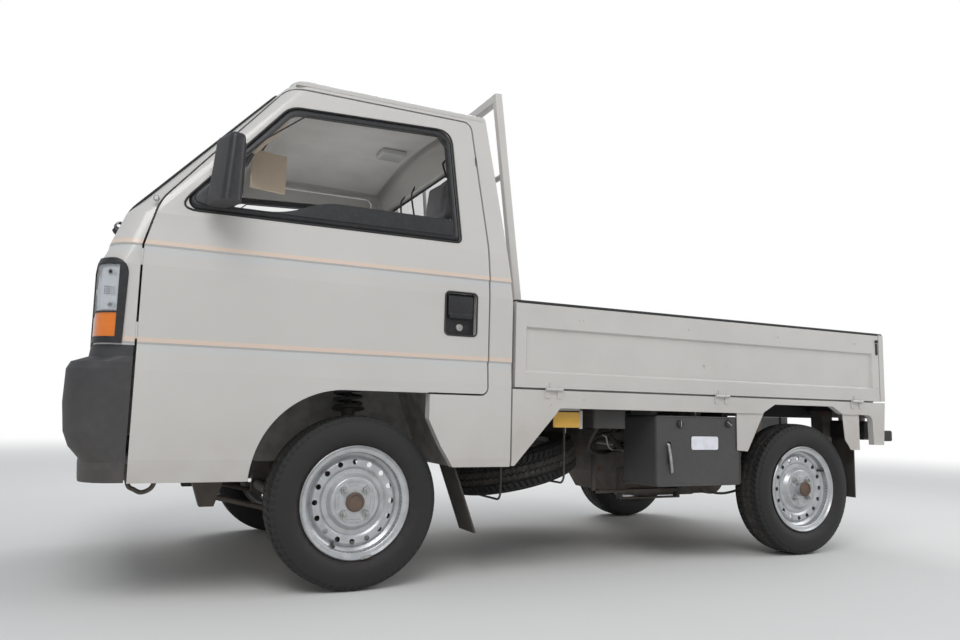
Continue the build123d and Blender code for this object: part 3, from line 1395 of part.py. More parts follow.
with BuildPart() as engine_block:
    with BuildSketch(Plane.XZ):
        with BuildLine():
            Polyline(
                (ENGINE_X[0], ENGINE_Z[0] + 40),
                (ENGINE_X[0] + 120, ENGINE_Z[0]),
                (ENGINE_X[1] - 60, ENGINE_Z[0]),
                (ENGINE_X[1], ENGINE_Z[0] + 90),
                (ENGINE_X[1], ENGINE_Z[1] - 60),
                (ENGINE_X[1] - 60, ENGINE_Z[1]),
                (ENGINE_X[0] + 60, ENGINE_Z[1]),
                (ENGINE_X[0], ENGINE_Z[1] - 120),
                close=True,
            )
        make_face()
    extrude(amount=ENGINE_HALF, both=True)
    with BuildSketch(Plane.XZ):
        with Locations((REAR_AXLE_X, WHEEL_Z + 4)):
            Circle(DIFF_R)
    extrude(amount=DIFF_HALF, both=True)
    with BuildSketch(Plane.XZ):
        with Locations((REAR_AXLE_X + 60, WHEEL_Z + 4)):
            Rectangle(120, 2 * DIFF_R - 10)
    extrude(amount=DIFF_HALF - 10, both=True)
    with BuildSketch(Plane.XZ):
        with Locations((REAR_AXLE_X, WHEEL_Z)):
            Circle(SHAFT_R)
    extrude(amount=SPRING_Y - SPRING_WIDTH / 2 - 12, both=True)
    # mounts up to the frame rails
    for mount_x in (ENGINE_X[0] + 90, ENGINE_X[1] - 100):
        with BuildSketch(Plane.YZ.offset(mount_x)):
            with Locations((0, RAIL_TOP_Z - RAIL_HEIGHT - 30)):
                Rectangle(2 * (RAIL_Y + 10), 60)
        extrude(amount=50)

with BuildPart() as exhaust:
    with BuildSketch(Plane.XZ):
        with Locations((EXHAUST_X, EXHAUST_Z)):
            Ellipse(EXHAUST_SIZE[0] / 2, EXHAUST_SIZE[1] / 2)
    extrude(amount=EXHAUST_HALF, both=True)
    with BuildLine() as pipe_line:
        FilletPolyline(
            (EXHAUST_X, -EXHAUST_HALF + 1, EXHAUST_Z),
            (EXHAUST_X, -EXHAUST_HALF - 70, EXHAUST_Z),
            (EXHAUST_X - 150, -EXHAUST_HALF - 90, EXHAUST_Z - 30),
            radius=30,
        )
    with BuildSketch(Plane(origin=pipe_line.wire() @ 0, z_dir=pipe_line.wire() % 0)):
        Circle(PIPE_R)
    sweep()
    for strap_y in (-150, 150):
        with BuildSketch(Plane.XZ.offset(-strap_y)):
            with Locations((EXHAUST_X, BED_CROSS_LOW_Z + 50)):
                Rectangle(30, STRAP_LENGTH, align=(Align.CENTER, Align.MAX))
        extrude(amount=3, both=True)


# Boxes under the bed: battery box on the left, fuel tank on the right
BATTERY_X = (-742, -332)
BATTERY_Y = (492, 688)
BATTERY_Z = (291, 552)
TANK_X = (-560, -100)
TANK_Y = (300, 640)
TANK_Z = (330, 540)
BRACKET = 30

with BuildPart() as battery_box:
    with BuildSketch(Plane.XZ.offset(-BATTERY_Y[1])):
        with Locations((sum(BATTERY_X) / 2, sum(BATTERY_Z) / 2)):
            RectangleRounded(BATTERY_X[1] - BATTERY_X[0], BATTERY_Z[1] - BATTERY_Z[0], 14)
    extrude(amount=BATTERY_Y[1] - BATTERY_Y[0])
    fillet(battery_box.faces().sort_by(Axis.Y)[-1].edges(), 6)
    # handle recess and straps up to the cross members
    with BuildSketch(Plane.XZ.offset(-BATTERY_Y[1])):
        with Locations((-392, 414)):
            SlotOverall(84, 20, rotation=90)
    extrude(amount=10, mode=Mode.SUBTRACT)
    for strap_x in (BATTERY_X[0] + 42, BATTERY_X[1] - 20):
        with BuildSketch(Plane.XY.offset(BATTERY_Z[1] - 1)):
            with Locations((strap_x, sum(BATTERY_Y) / 2)):
                Rectangle(BRACKET, 120)
        extrude(amount=BED_CROSS_LOW_Z - BATTERY_Z[1] + 1)

with BuildPart() as fuel_tank:
    with BuildSketch(Plane.XZ.offset(TANK_Y[0])):
        with Locations((sum(TANK_X) / 2, sum(TANK_Z) / 2)):
            RectangleRounded(TANK_X[1] - TANK_X[0], TANK_Z[1] - TANK_Z[0], 40)
    extrude(amount=TANK_Y[1] - TANK_Y[0])
    with BuildSketch(Plane.XY.offset(TANK_Z[1] - 1)):
        with Locations((BED_CROSS_XS[2], -TANK_Y[1] + 40)):
            Rectangle(40, TANK_Y[1] - 40 - RAIL_Y - RAIL_WIDTH / 2 - 1, align=(Align.CENTER, Align.MIN))
    extrude(amount=BED_CROSS_LOW_Z - TANK_Z[1] + 1)

spare_place = Location(SPARE_CENTRE) * Location((0, 0, 0), (0, SPARE_TILT, 0)) * Location((0, 0, 0), (90, 0, 0))

with BuildPart() as spare_tyre:
    with Locations(spare_place):
        add(tyre.part)

with BuildPart() as spare_rim:
    with BuildSketch():
        with BuildLine():
            spare_barrel = FilletPolyline(*RIM_LINE, radius=3)
        trace(spare_barrel, line_width=RIM_SHEET)
        with BuildLine():
            spare_disc = FilletPolyline(*DISC_LINE, radius=5)
        trace(spare_disc, line_width=DISC_SHEET)
    revolve(axis=Axis.Y)
    with Locations(Location((0, HUB_FACE - 40, 0), (-90, 0, 0))):
        with PolarLocations(HOLE_CIRCLE_R, HOLE_COUNT):
            Cylinder(HOLE_R, 60, align=(Align.CENTER, Align.CENTER, Align.MIN), mode=Mode.SUBTRACT)

with BuildPart() as spare_rim_hung:
    with Locations(spare_place):
        add(spare_rim.part)

# Small boxes and covers under the left side
CANISTER_X = (-228, -86)
CANISTER_Y = (562, 650)
CANISTER_Z = 500
COVER_X = (-800, -480)
COVER_Y = 262
COVER_Z = (196, 330)
COVER_SLATS = 4

with BuildPart() as underbody_covers:
    with BuildSketch(Plane.XY.offset(CANISTER_Z)):
        with Locations((sum(CANISTER_X) / 2, sum(CANISTER_Y) / 2)):
            RectangleRounded(CANISTER_X[1] - CANISTER_X[0], CANISTER_Y[1] - CANISTER_Y[0], 12)
    extrude(amount=SILL_TOP_Z - FLANGE_SHEET - CANISTER_Z)
    # slatted guard beside the engine
    with BuildSketch(Plane.XZ.offset(-COVER_Y)):
        with Locations((sum(COVER_X) / 2, sum(COVER_Z) / 2)):
            Rectangle(COVER_X[1] - COVER_X[0], COVER_Z[1] - COVER_Z[0])
            with GridLocations(0, (COVER_Z[1] - COVER_Z[0]) / COVER_SLATS, 1, COVER_SLATS):
                Rectangle(COVER_X[1] - COVER_X[0] - 30, 20, mode=Mode.SUBTRACT)
    extrude(amount=COVER_Y - ENGINE_HALF)

# Mud flaps behind the wheels
MUD_FLAP_THICK = 6
FRONT_FLAP_LAP = 40
FRONT_FLAP_DROP = 232
REAR_FLAP_Z = (222, REAR_FLAP_TOP_Z)
FLAP_Y = (540, 662)

with BuildPart() as mud_flap_left:
    with BuildSketch(Plane.YZ.offset(REAR_FLAP_X)):
        with Locations((sum(FLAP_Y) / 2, sum(REAR_FLAP_Z) / 2)):
            Rectangle(FLAP_Y[1] - FLAP_Y[0] - 12, REAR_FLAP_Z[1] - REAR_FLAP_Z[0])
    extrude(amount=MUD_FLAP_THICK)
    # the front one lies behind the wheelhouse's rear wall
    wall_run = Vector(WALL_TOP[0] - WHEELHOUSE_X[0], 0, WALL_TOP[1] - WHEELHOUSE_LOW_Z).normalized()
    front_plane = Plane(
        origin=(WHEELHOUSE_X[0], sum(FLAP_Y) / 2, WHEELHOUSE_LOW_Z),
        x_dir=(0, 1, 0),
        z_dir=(-wall_run.Z, 0, wall_run.X),
    )
    with BuildSketch(front_plane.offset(SHEET / 2)):
        with Locations((0, (FRONT_FLAP_DROP - FRONT_FLAP_LAP) / 2)):
            Rectangle(FLAP_Y[1] - FLAP_Y[0], FRONT_FLAP_DROP + FRONT_FLAP_LAP)
    extrude(amount=MUD_FLAP_THICK)

# Guard frame behind the cab
POST_FOOT = (214, 606, 924)
POST_HEAD = (292, 572, 1684)
POST_SIZE = 28
GUARD_BAR_R = 11
GUARD_BAR_ZS = (1110, 1400)
GUARD_INNER_Y = 190


def on_post(height, y_share):
    """Point on the plane of the posts at a height, y_share of the way out to a post."""
    share = (height - POST_FOOT[2]) / (POST_HEAD[2] - POST_FOOT[2])
    point = Vector(*POST_FOOT) + (Vector(*POST_HEAD) - Vector(*POST_FOOT)) * share
    return Vector(point.X, point.Y * y_share, point.Z)


with BuildPart() as guard_frame:
    for sign in SIDES.values():
        foot = on_post(POST_FOOT[2], sign)
        head = on_post(POST_HEAD[2] + POST_SIZE / 2, sign)
        with BuildSketch(Plane(origin=foot, x_dir=(0, 1, 0), z_dir=head - foot)):
            RectangleRounded(POST_SIZE, POST_SIZE, 4)
        extrude(amount=(head - foot).length)
        inner_foot = on_post(GUARD_BAR_ZS[0], sign * GUARD_INNER_Y / POST_FOOT[1])
        inner_head = on_post(POST_HEAD[2], sign * GUARD_INNER_Y / POST_FOOT[1])
        with BuildSketch(Plane(origin=inner_foot, z_dir=inner_head - inner_foot)):
            Circle(GUARD_BAR_R - 3)
        extrude(amount=(inner_head - inner_foot).length)
    for bar_z in GUARD_BAR_ZS:
        with BuildSketch(Plane(origin=on_post(bar_z, -1), z_dir=(0, 1, 0))):
            Circle(GUARD_BAR_R)
        extrude(amount=2 * on_post(bar_z, 1).Y)
    with BuildSketch(Plane(origin=on_post(POST_HEAD[2], -1), x_dir=(1, 0, 0), z_dir=(0, 1, 0))):
        RectangleRounded(POST_SIZE, POST_SIZE + 6, 4)
    extrude(amount=2 * POST_HEAD[1])
    # feet on the bed's front board
    for sign in SIDES.values():
        with BuildSketch(Plane.XY.offset(BOARD_TOP_Z)):
            with Locations(((POST_FOOT[0] + BED_FRONT_X) / 2 - 4, sign * POST_FOOT[1])):
                Rectangle(BED_FRONT_X - POST_FOOT[0] + 20, POST_SIZE + 20)
        extrude(amount=8)

# Hydraulic brake hose that loops down beside the rear axle
HOSE_R = 5
HOSE_POINTS = (
    (-700, 475, BED_CROSS_LOW_Z),
    (-700, 475, 530),
    (-694, 476, 474),
    (-686, 477, 418),
    (-684, 478, 362),
    (-696, 478, 308),
    (-732, 479, 264),
    (-782, 480, 240),
    (-840, 482, 234),
    (-898, 484, 242),
    (-956, 486, 258),
    (-1018, 488, 272),
    (REAR_AXLE_X + 34, 488, 272),
)


def tangent_radii(points):
    """Largest fillet radii that the runs of a route allow."""
    radii = []
    for before, corner, after in zip(points, points[1:], points[2:]):
        first = Vector(*corner) - Vector(*before)
        second = Vector(*after) - Vector(*corner)
        turn = math.radians(first.get_angle(second))
        radii.append(0.45 * min(first.length, second.length) / math.tan(turn / 2))
    return radii


hose_radii = tangent_radii(HOSE_POINTS)
print("hose radii", [round(radius) for radius in hose_radii])
with BuildPart() as brake_hose:
    with BuildLine() as hose_line:
        FilletPolyline(*HOSE_POINTS, radius=hose_radii)
    with BuildSketch(Plane(origin=hose_line.wire() @ 0, z_dir=hose_line.wire() % 0)):
        Circle(HOSE_R)
    sweep()

for piece, name in (
    (bed_floor, "bed_floor"),
    (bed_side_left, "bed_side_left"),
    (mirrored(bed_side_left), "bed_side_right"),
    (gate_left, "side_gate_left"),
    (mirrored(gate_left), "side_gate_right"),
    (tailgate, "tailgate"),
    (rear_beam, "rear_beam"),
    (tail_lamps, "tail_lamps"),
    (pair(rear_stop_left), "rear_stops"),
    (guard_frame, "guard_frame"),
    (chassis_frame, "chassis_frame"),
    (spare_cradles, "spare_cradles"),
    (placed(tyre, FRONT_AXLE_X, 1), "tyre_front_left"),
    (placed(tyre, FRONT_AXLE_X, -1), "tyre_front_right"),
    (placed(tyre, REAR_AXLE_X, 1), "tyre_rear_left"),
    (placed(tyre, REAR_AXLE_X, -1), "tyre_rear_right"),
    (placed(front_rim, FRONT_AXLE_X, 1), "rim_front_left"),
    (placed(front_rim, FRONT_AXLE_X, -1), "rim_front_right"),
    (placed(rear_rim, REAR_AXLE_X, 1), "rim_rear_left"),
    (placed(rear_rim, REAR_AXLE_X, -1), "rim_rear_right"),
    (front_strut_left, "front_strut_left"),
    (mirrored(front_strut_left), "front_strut_right"),
    (front_arms, "front_arms"),
    (rear_axle, "rear_axle"),
    (leaf_springs, "leaf_springs"),
    (engine_block, "engine_block"),
    (exhaust, "exhaust"),
    (battery_box, "battery_box"),
    (fuel_tank, "fuel_tank"),
    (spare_tyre, "spare_tyre"),
    (spare_rim_hung, "spare_rim"),
    (underbody_covers, "underbody_covers"),
    (pair(mud_flap_left), "mud_flaps"),
    (brake_hose, "brake_hose"),
):
    save(piece, name)
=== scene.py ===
"""A small cab-over pickup truck with a drop-side bed, dressed for the studio.

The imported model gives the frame: sheet metal, glass, chassis and wheels, in metres, with
+X forward, +Y to the truck's left and +Z up. This file adds what the solids leave out, such
as tyre treads, lamp insides, rubber seals, cushions and cables, and gives every surface a
procedural finish. Each group of pieces is one operator, and the sidebar lists them.
"""
import math

import bmesh
import bpy
import numpy as np
from bpy.props import FloatProperty, FloatVectorProperty, IntProperty, PointerProperty
from mathutils import Matrix
from mathutils.bvhtree import BVHTree


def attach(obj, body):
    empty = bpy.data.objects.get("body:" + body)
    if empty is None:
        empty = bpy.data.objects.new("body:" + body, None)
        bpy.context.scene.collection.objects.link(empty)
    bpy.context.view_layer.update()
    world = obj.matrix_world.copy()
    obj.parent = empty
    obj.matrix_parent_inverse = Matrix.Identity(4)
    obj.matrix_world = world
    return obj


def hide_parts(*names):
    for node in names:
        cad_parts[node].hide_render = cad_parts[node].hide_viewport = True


bl_info = {
    "name": "Kei Truck",
    "version": (1, 0, 0),
    "blender": (4, 5, 0),
    "location": "3D View > Sidebar > Kei Truck",
    "description": "Dresses a packed kei truck: tyres, lamps, trim, cushions and finishes",
    "category": "Add Mesh",
}

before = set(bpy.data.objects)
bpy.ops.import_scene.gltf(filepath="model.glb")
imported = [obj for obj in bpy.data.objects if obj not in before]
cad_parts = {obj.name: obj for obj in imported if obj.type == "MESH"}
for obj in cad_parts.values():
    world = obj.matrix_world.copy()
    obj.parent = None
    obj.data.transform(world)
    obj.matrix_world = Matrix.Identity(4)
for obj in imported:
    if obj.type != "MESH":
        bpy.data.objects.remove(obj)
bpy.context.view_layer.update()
MM = 0.001
SIDES = {"left": 1, "right": -1}

# Places on the truck, in metres; the hub face is measured from the wheel's middle
WHEEL_X = {"front": 0.785, "rear": -1.115}
WHEEL_Y = 0.5955
WHEEL_Z = 0.265
HUB_FACE = 0.044
TYRE_RADIUS = 0.265
SPARE_CENTRE = np.array([0.018, 0.205, 0.352])
SPARE_TILT = math.radians(14)

# The middle of the left seat across the truck, in millimetres; the driver sits as far right
SEAT_Y = 335


# Shapes: every one is a grid of points worked out at once, given back as (points, faces)
def unit(vectors):
    """Vectors over their own lengths."""
    vectors = np.asarray(vectors, float)
    return vectors / np.linalg.norm(vectors, axis=-1, keepdims=True)


def skin(points, wrap_rows=False, wrap_columns=True, ends=False):
    """Quads between the neighbours of a rows by columns grid; ends closes both open rims."""
    rows, columns = points.shape[:2]
    row = np.arange(rows if wrap_rows else rows - 1)[:, None]
    column = np.arange(columns if wrap_columns else columns - 1)[None, :]
    next_row = (row + 1) % rows
    next_column = (column + 1) % columns
    quads = np.stack(
        [row * columns + column, row * columns + next_column,
         next_row * columns + next_column, next_row * columns + column], -1)
    faces = quads.reshape(-1, 4).tolist()
    if ends:
        faces.append(list(range(columns)))
        faces.append(list(range((rows - 1) * columns, rows * columns)))
    return points.reshape(-1, 3), faces


def together(*shapes):
    """Several shapes as one, with the faces renumbered."""
    points, faces, start = [], [], 0
    for some_points, some_faces in shapes:
        points.append(some_points)
        faces.extend([[corner + start for corner in face] for face in some_faces])
        start += len(some_points)
    return np.concatenate(points), faces


def moved(shape, matrix):
    """A shape under a 3 by 3 turn and a shift, given as (turn, shift)."""
    turn, shift = matrix
    return shape[0] @ np.asarray(turn, float).T + np.asarray(shift, float), shape[1]


def mirrored(shape):
    """A shape for the truck's other side: Y changes its sign."""
    return shape[0] * np.array([1, -1, 1]), shape[1]


def turned(profile, centre=(0, 0, 0), axis=(0, 1, 0), steps=48, closed=True):
    """A profile of (distance along the axis, radius) rows turned about an axis.

    Point = centre + distance * axis + radius * (cos(turn) * side + sin(turn) * up).
    """
    profile = np.asarray(profile, float)
    axis = unit(axis)
    side = unit(np.cross(axis, [0.31, 0.2, 0.93]))
    up = np.cross(axis, side)
    turn = np.linspace(0, 2 * math.pi, steps, endpoint=False)
    ring = np.cos(turn)[:, None] * side + np.sin(turn)[:, None] * up
    points = np.asarray(centre) + profile[:, None, :1] * axis + profile[:, None, 1:] * ring[None]
    return skin(points, wrap_rows=closed, ends=not closed)


def smooth_line(points, steps=8):
    """A line through all points: Catmull-Rom cubics, steps to a span."""
    points = np.asarray(points, float)
    around = np.concatenate(
        [2 * points[:1] - points[1:2], points, 2 * points[-1:] - points[-2:-1]])
    before, start, end, after = around[:-3], around[1:-2], around[2:-1], around[3:]
    t = np.linspace(0, 1, steps, endpoint=False)[None, :, None]
    line = 0.5 * (2 * start[:, None] + (end - before)[:, None] * t
                  + (2 * before - 5 * start + 4 * end - after)[:, None] * t**2
                  + (3 * start - before - 3 * end + after)[:, None] * t**3)
    return np.concatenate([line.reshape(-1, 3), points[-1:]])


def carried(outline, path, up=(0, 0, 1), closed=False):
    """An outline of (side, up) pairs carried square to a path, with ends closed.

    Point = path + outline side * (tangent x up) + outline up * (side x tangent).
    """
    path = np.asarray(path, float)
    if closed:
        tangent = unit(np.roll(path, -1, 0) - np.roll(path, 1, 0))
    else:
        tangent = unit(np.gradient(path, axis=0))
    side = unit(np.cross(tangent, up))
    rise = np.cross(side, tangent)
    outline = np.asarray(outline, float)
    points = path[:, None] + (outline[None, :, :1] * side[:, None]
                              + outline[None, :, 1:] * rise[:, None])
    return skin(points, wrap_rows=closed, ends=not closed)


def round_outline(radius, sides=12):
    """A circle of (side, up) pairs: radius * (cos, sin)."""
    turn = np.linspace(0, 2 * math.pi, sides, endpoint=False)
    return radius * np.stack([np.cos(turn), np.sin(turn)], 1)


def corner_turns(steps):
    """Angles of a rounded rectangle's four quarter arcs, and the sides that their corners are on."""
    quarter = np.linspace(0, math.pi / 2, steps)
    turns = np.concatenate([quarter + k * math.pi / 2 for k in range(4)])
    return turns, np.repeat([[1, 1], [-1, 1], [-1, -1], [1, -1]], steps, 0)


def rounded_outline(width, height, radius, steps=5):
    """A rectangle with round corners: corner centre + radius * (cos, sin) by quarters."""
    turns, signs = corner_turns(steps)
    centre = signs * [width / 2 - radius, height / 2 - radius]
    return centre + radius * np.stack([np.cos(turns), np.sin(turns)], 1)


def plate(outline, centre, across, up, thick):
    """A flat outline with a thickness.

    Point = centre + outline side * across + outline up * up, once more + thick * (across x up).
    """
    across, up = unit(across), unit(up)
    out = np.cross(across, up)
    flat = np.asarray(centre) + outline[:, :1] * across + outline[:, 1:] * up
    return skin(np.stack([flat, flat + thick * out]), ends=True)


def rod(start, end, radius, sides=16):
    """A round bar between two points: a circle of one radius turned at each of them."""
    axis = np.asarray(end, float) - np.asarray(start, float)
    length = np.linalg.norm(axis)
    return turned([(0, radius), (length, radius)], start, axis, sides, closed=False)


def tube(points, radius, sides=10, steps=8, up=(0, 0, 1)):
    """A round wire: a circle carried along the smooth line through all points."""
    return carried(round_outline(radius, sides), smooth_line(points, steps), up)


def rounded_block(low, high, radius, steps=4):
    """A box with round edges and corners: nearest inner box corner + radius * direction."""
    low, high = np.asarray(low, float), np.asarray(high, float)
    turn, signs = corner_turns(steps)
    lift = np.concatenate([turn[:steps] - math.pi / 2, turn[:steps]])
    lift_sign = np.repeat([-1, 1], steps)
    direction = np.stack(
        [np.cos(lift)[:, None] * np.cos(turn), np.cos(lift)[:, None] * np.sin(turn),
         np.repeat(np.sin(lift)[:, None], len(turn), 1)], -1)
    corner = np.stack(
        [np.repeat(signs[None, :, 0], len(lift), 0), np.repeat(signs[None, :, 1], len(lift), 0),
         np.repeat(lift_sign[:, None], len(turn), 1)], -1)
    half = (high - low) / 2
    points = (low + high) / 2 + corner * (half - radius) + radius * direction
    return skin(points, ends=True)


def new_mesh(name, shape, merge=False):
    """A mesh of a shape with its faces turned outwards, after merging doubles if asked."""
    mesh = bpy.data.meshes.new(name)
    mesh.from_pydata(shape[0].tolist(), [], shape[1])
    outward = bmesh.new()
    outward.from_mesh(mesh)
    if merge:
        bmesh.ops.remove_doubles(outward, verts=outward.verts, dist=1e-6)
    bmesh.ops.recalc_face_normals(outward, faces=outward.faces)
    outward.to_mesh(mesh)
    outward.free()
    return mesh


def new_object(name, mesh, finish, crease):
    """A smooth object of a mesh at the origin; edges sharper than crease stay sharp."""
    mesh.shade_smooth()
    mesh.set_sharp_from_angle(angle=math.radians(crease))
    mesh.materials.append(FINISHES[finish])
    piece = bpy.data.objects.new(name, mesh)
    bpy.context.scene.collection.objects.link(piece)
    return piece


def make_piece(name, shapes, finish, body="chassis", crease=35, subdivide=0):
    """Puts shapes into one piece with the slot of its finish, and lets it ride on a body."""
    piece = new_object(name, new_mesh(name, together(*shapes), merge=True), finish, crease)
    if subdivide:
        finer = piece.modifiers.new("finer", "SUBSURF")
        finer.levels = finer.render_levels = subdivide
    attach(piece, body)
    return piece


# Effects that several finishes share
def new_group(name, inputs, outputs):
    """A shader node group with its sockets; returns the tree and its two end nodes."""
    tree = bpy.data.node_groups.new(name, "ShaderNodeTree")
    for label, kind, value in inputs:
        socket = tree.interface.new_socket(label, in_out="INPUT", socket_type=kind)
        socket.default_value = value
    for label, kind in outputs:
        tree.interface.new_socket(label, in_out="OUTPUT", socket_type=kind)
    return tree, tree.nodes.new("NodeGroupInput"), tree.nodes.new("NodeGroupOutput")


def math_node(tree, operation, first, second=None, clamp=False):
    """A Math node fed by sockets or numbers; returns its output socket."""
    node = tree.nodes.new("ShaderNodeMath")
    node.operation = operation
    node.use_clamp = clamp
    for socket, value in zip(node.inputs, (first, second)):
        if isinstance(value, bpy.types.NodeSocket):
            tree.links.new(value, socket)
        elif value is not None:
            socket.default_value = value
    return node.outputs[0]


def noise_node(tree, vector, scale, detail=3.0, roughness=0.5):
    """A Noise Texture read along vector; returns its factor."""
    node = tree.nodes.new("ShaderNodeTexNoise")
    node.inputs["Detail"].default_value = detail
    node.inputs["Roughness"].default_value = roughness
    tree.links.new(vector, node.inputs["Vector"])
    if isinstance(scale, bpy.types.NodeSocket):
        tree.links.new(scale, node.inputs["Scale"])
    else:
        node.inputs["Scale"].default_value = scale
    return node.outputs["Fac"]


def range_node(tree, value, low, high, to_low=0.0, to_high=1.0, smooth=True):
    """A Map Range node, smooth and clamped; returns its result."""
    node = tree.nodes.new("ShaderNodeMapRange")
    node.interpolation_type = "SMOOTHSTEP" if smooth else "LINEAR"
    for socket, number in zip(node.inputs, (value, low, high, to_low, to_high)):
        if isinstance(number, bpy.types.NodeSocket):
            tree.links.new(number, socket)
        else:
            socket.default_value = number
    return node.outputs["Result"]


def mix_node(tree, factor, first, second):
    """A colour Mix node fed by sockets or colours; returns its result."""
    node = tree.nodes.new("ShaderNodeMix")
    node.data_type = "RGBA"
    for label, value in (("Factor", factor), ("A", first), ("B", second)):
        socket = next(s for s in node.inputs if s.name == label and s.enabled)
        if isinstance(value, bpy.types.NodeSocket):
            tree.links.new(value, socket)
        elif label == "Factor":
            socket.default_value = value
        else:
            socket.default_value = tuple(value)[:3] + (1.0,)
    return next(s for s in node.outputs if s.enabled)


def build_road_dust():
    """Dust that thickens towards the ground and lies in soft patches."""
    tree, start, end = new_group(
        "road dust",
        [("Position", "NodeSocketVector", (0, 0, 0)), ("Clean", "NodeSocketColor", (1, 1, 1, 1)),
         ("Dust", "NodeSocketColor", (0.3, 0.25, 0.2, 1)), ("Amount", "NodeSocketFloat", 0.3),
         ("Low", "NodeSocketFloat", 0.1), ("High", "NodeSocketFloat", 0.7),
         ("Scale", "NodeSocketFloat", 9.0)],
        [("Colour", "NodeSocketColor"), ("Mask", "NodeSocketFloat")])
    split = tree.nodes.new("ShaderNodeSeparateXYZ")
    tree.links.new(start.outputs["Position"], split.inputs[0])
    height = range_node(tree, split.outputs["Z"], start.outputs["Low"], start.outputs["High"],
                        1.0, 0.0)
    cloud = noise_node(tree, start.outputs["Position"], start.outputs["Scale"], 5.0, 0.6)
    patches = range_node(tree, cloud, 0.25, 0.8, 0.25, 1.0)
    mask = math_node(tree, "MULTIPLY", height, patches)
    mask = math_node(tree, "MULTIPLY", mask, start.outputs["Amount"], clamp=True)
    colour = mix_node(tree, mask, start.outputs["Clean"], start.outputs["Dust"])
    tree.links.new(colour, end.inputs["Colour"])
    tree.links.new(mask, end.inputs["Mask"])
    return tree


def build_grain():
    """Fine grain of a moulded or cast surface: two sizes of noise added."""
    tree, start, end = new_group(
        "surface grain",
        [("Position", "NodeSocketVector", (0, 0, 0)), ("Scale", "NodeSocketFloat", 400.0)],
        [("Height", "NodeSocketFloat"), ("Variation", "NodeSocketFloat")])
    fine = noise_node(tree, start.outputs["Position"], start.outputs["Scale"], 2.0)
    coarse = noise_node(tree, start.outputs["Position"],
                        math_node(tree, "MULTIPLY", start.outputs["Scale"], 0.08), 3.0)
    tree.links.new(math_node(tree, "ADD", fine, math_node(tree, "MULTIPLY", coarse, 0.4)),
                   end.inputs["Height"])
    tree.links.new(coarse, end.inputs["Variation"])
    return tree


def build_wear():
    """Scattered worn or rusted spots: noise above a threshold, broken up by finer noise."""
    tree, start, end = new_group(
        "worn spots",
        [("Position", "NodeSocketVector", (0, 0, 0)), ("Scale", "NodeSocketFloat", 12.0),
         ("Threshold", "NodeSocketFloat", 0.6), ("Softness", "NodeSocketFloat", 0.06)],
        [("Mask", "NodeSocketFloat")])
    broad = noise_node(tree, start.outputs["Position"], start.outputs["Scale"], 4.0, 0.65)
    fine = noise_node(tree, start.outputs["Position"],
                      math_node(tree, "MULTIPLY", start.outputs["Scale"], 7.0), 3.0, 0.6)
    blend = math_node(tree, "ADD", math_node(tree, "MULTIPLY", broad, 0.75),
                      math_node(tree, "MULTIPLY", fine, 0.25))
    top = math_node(tree, "ADD", start.outputs["Threshold"], start.outputs["Softness"])
    tree.links.new(range_node(tree, blend, start.outputs["Threshold"], top), end.inputs["Mask"])
    return tree


def build_weave():
    """Over-and-under threads: product of two sine waves in the two directions of a vector."""
    tree, start, end = new_group(
        "woven threads",
        [("Position", "NodeSocketVector", (0, 0, 0)), ("Scale", "NodeSocketFloat", 700.0)],
        [("Height", "NodeSocketFloat"), ("Mask", "NodeSocketFloat")])
    split = tree.nodes.new("ShaderNodeSeparateXYZ")
    tree.links.new(start.outputs["Position"], split.inputs[0])
    along = math_node(tree, "ADD", split.outputs["X"], split.outputs["Z"])
    waves = [math_node(tree, "SINE", math_node(tree, "MULTIPLY", place, start.outputs["Scale"]))
             for place in (split.outputs["Y"], along)]
    product = math_node(tree, "MULTIPLY", *waves)
    tree.links.new(product, end.inputs["Height"])
    tree.links.new(range_node(tree, product, -0.6, 0.6), end.inputs["Mask"])
    return tree


EFFECTS = {}
FINISHES = {}
DUST = (0.33, 0.27, 0.21)
RUST = (0.17, 0.065, 0.025)
GRAIN_HEIGHT = 0.0004
# Heights of the two creases along the body's sides
BODY_CREASES = (0.714, 0.986)


def effect(tree, name, **values):
    """Places a shared effect in a material, with its own values; links sockets it is given."""
    builders = {"road dust": build_road_dust, "surface grain": build_grain,
                "worn spots": build_wear, "woven threads": build_weave}
    if name not in EFFECTS:
        EFFECTS[name] = builders[name]()
    node = tree.nodes.new("ShaderNodeGroup")
    node.node_tree = EFFECTS[name]
    for label, value in values.items():
        socket = node.inputs[label]
        if isinstance(value, bpy.types.NodeSocket):
            tree.links.new(value, socket)
        elif socket.type == "RGBA":
            socket.default_value = tuple(value)[:3] + (1.0,)
        else:
            socket.default_value = value
    return node


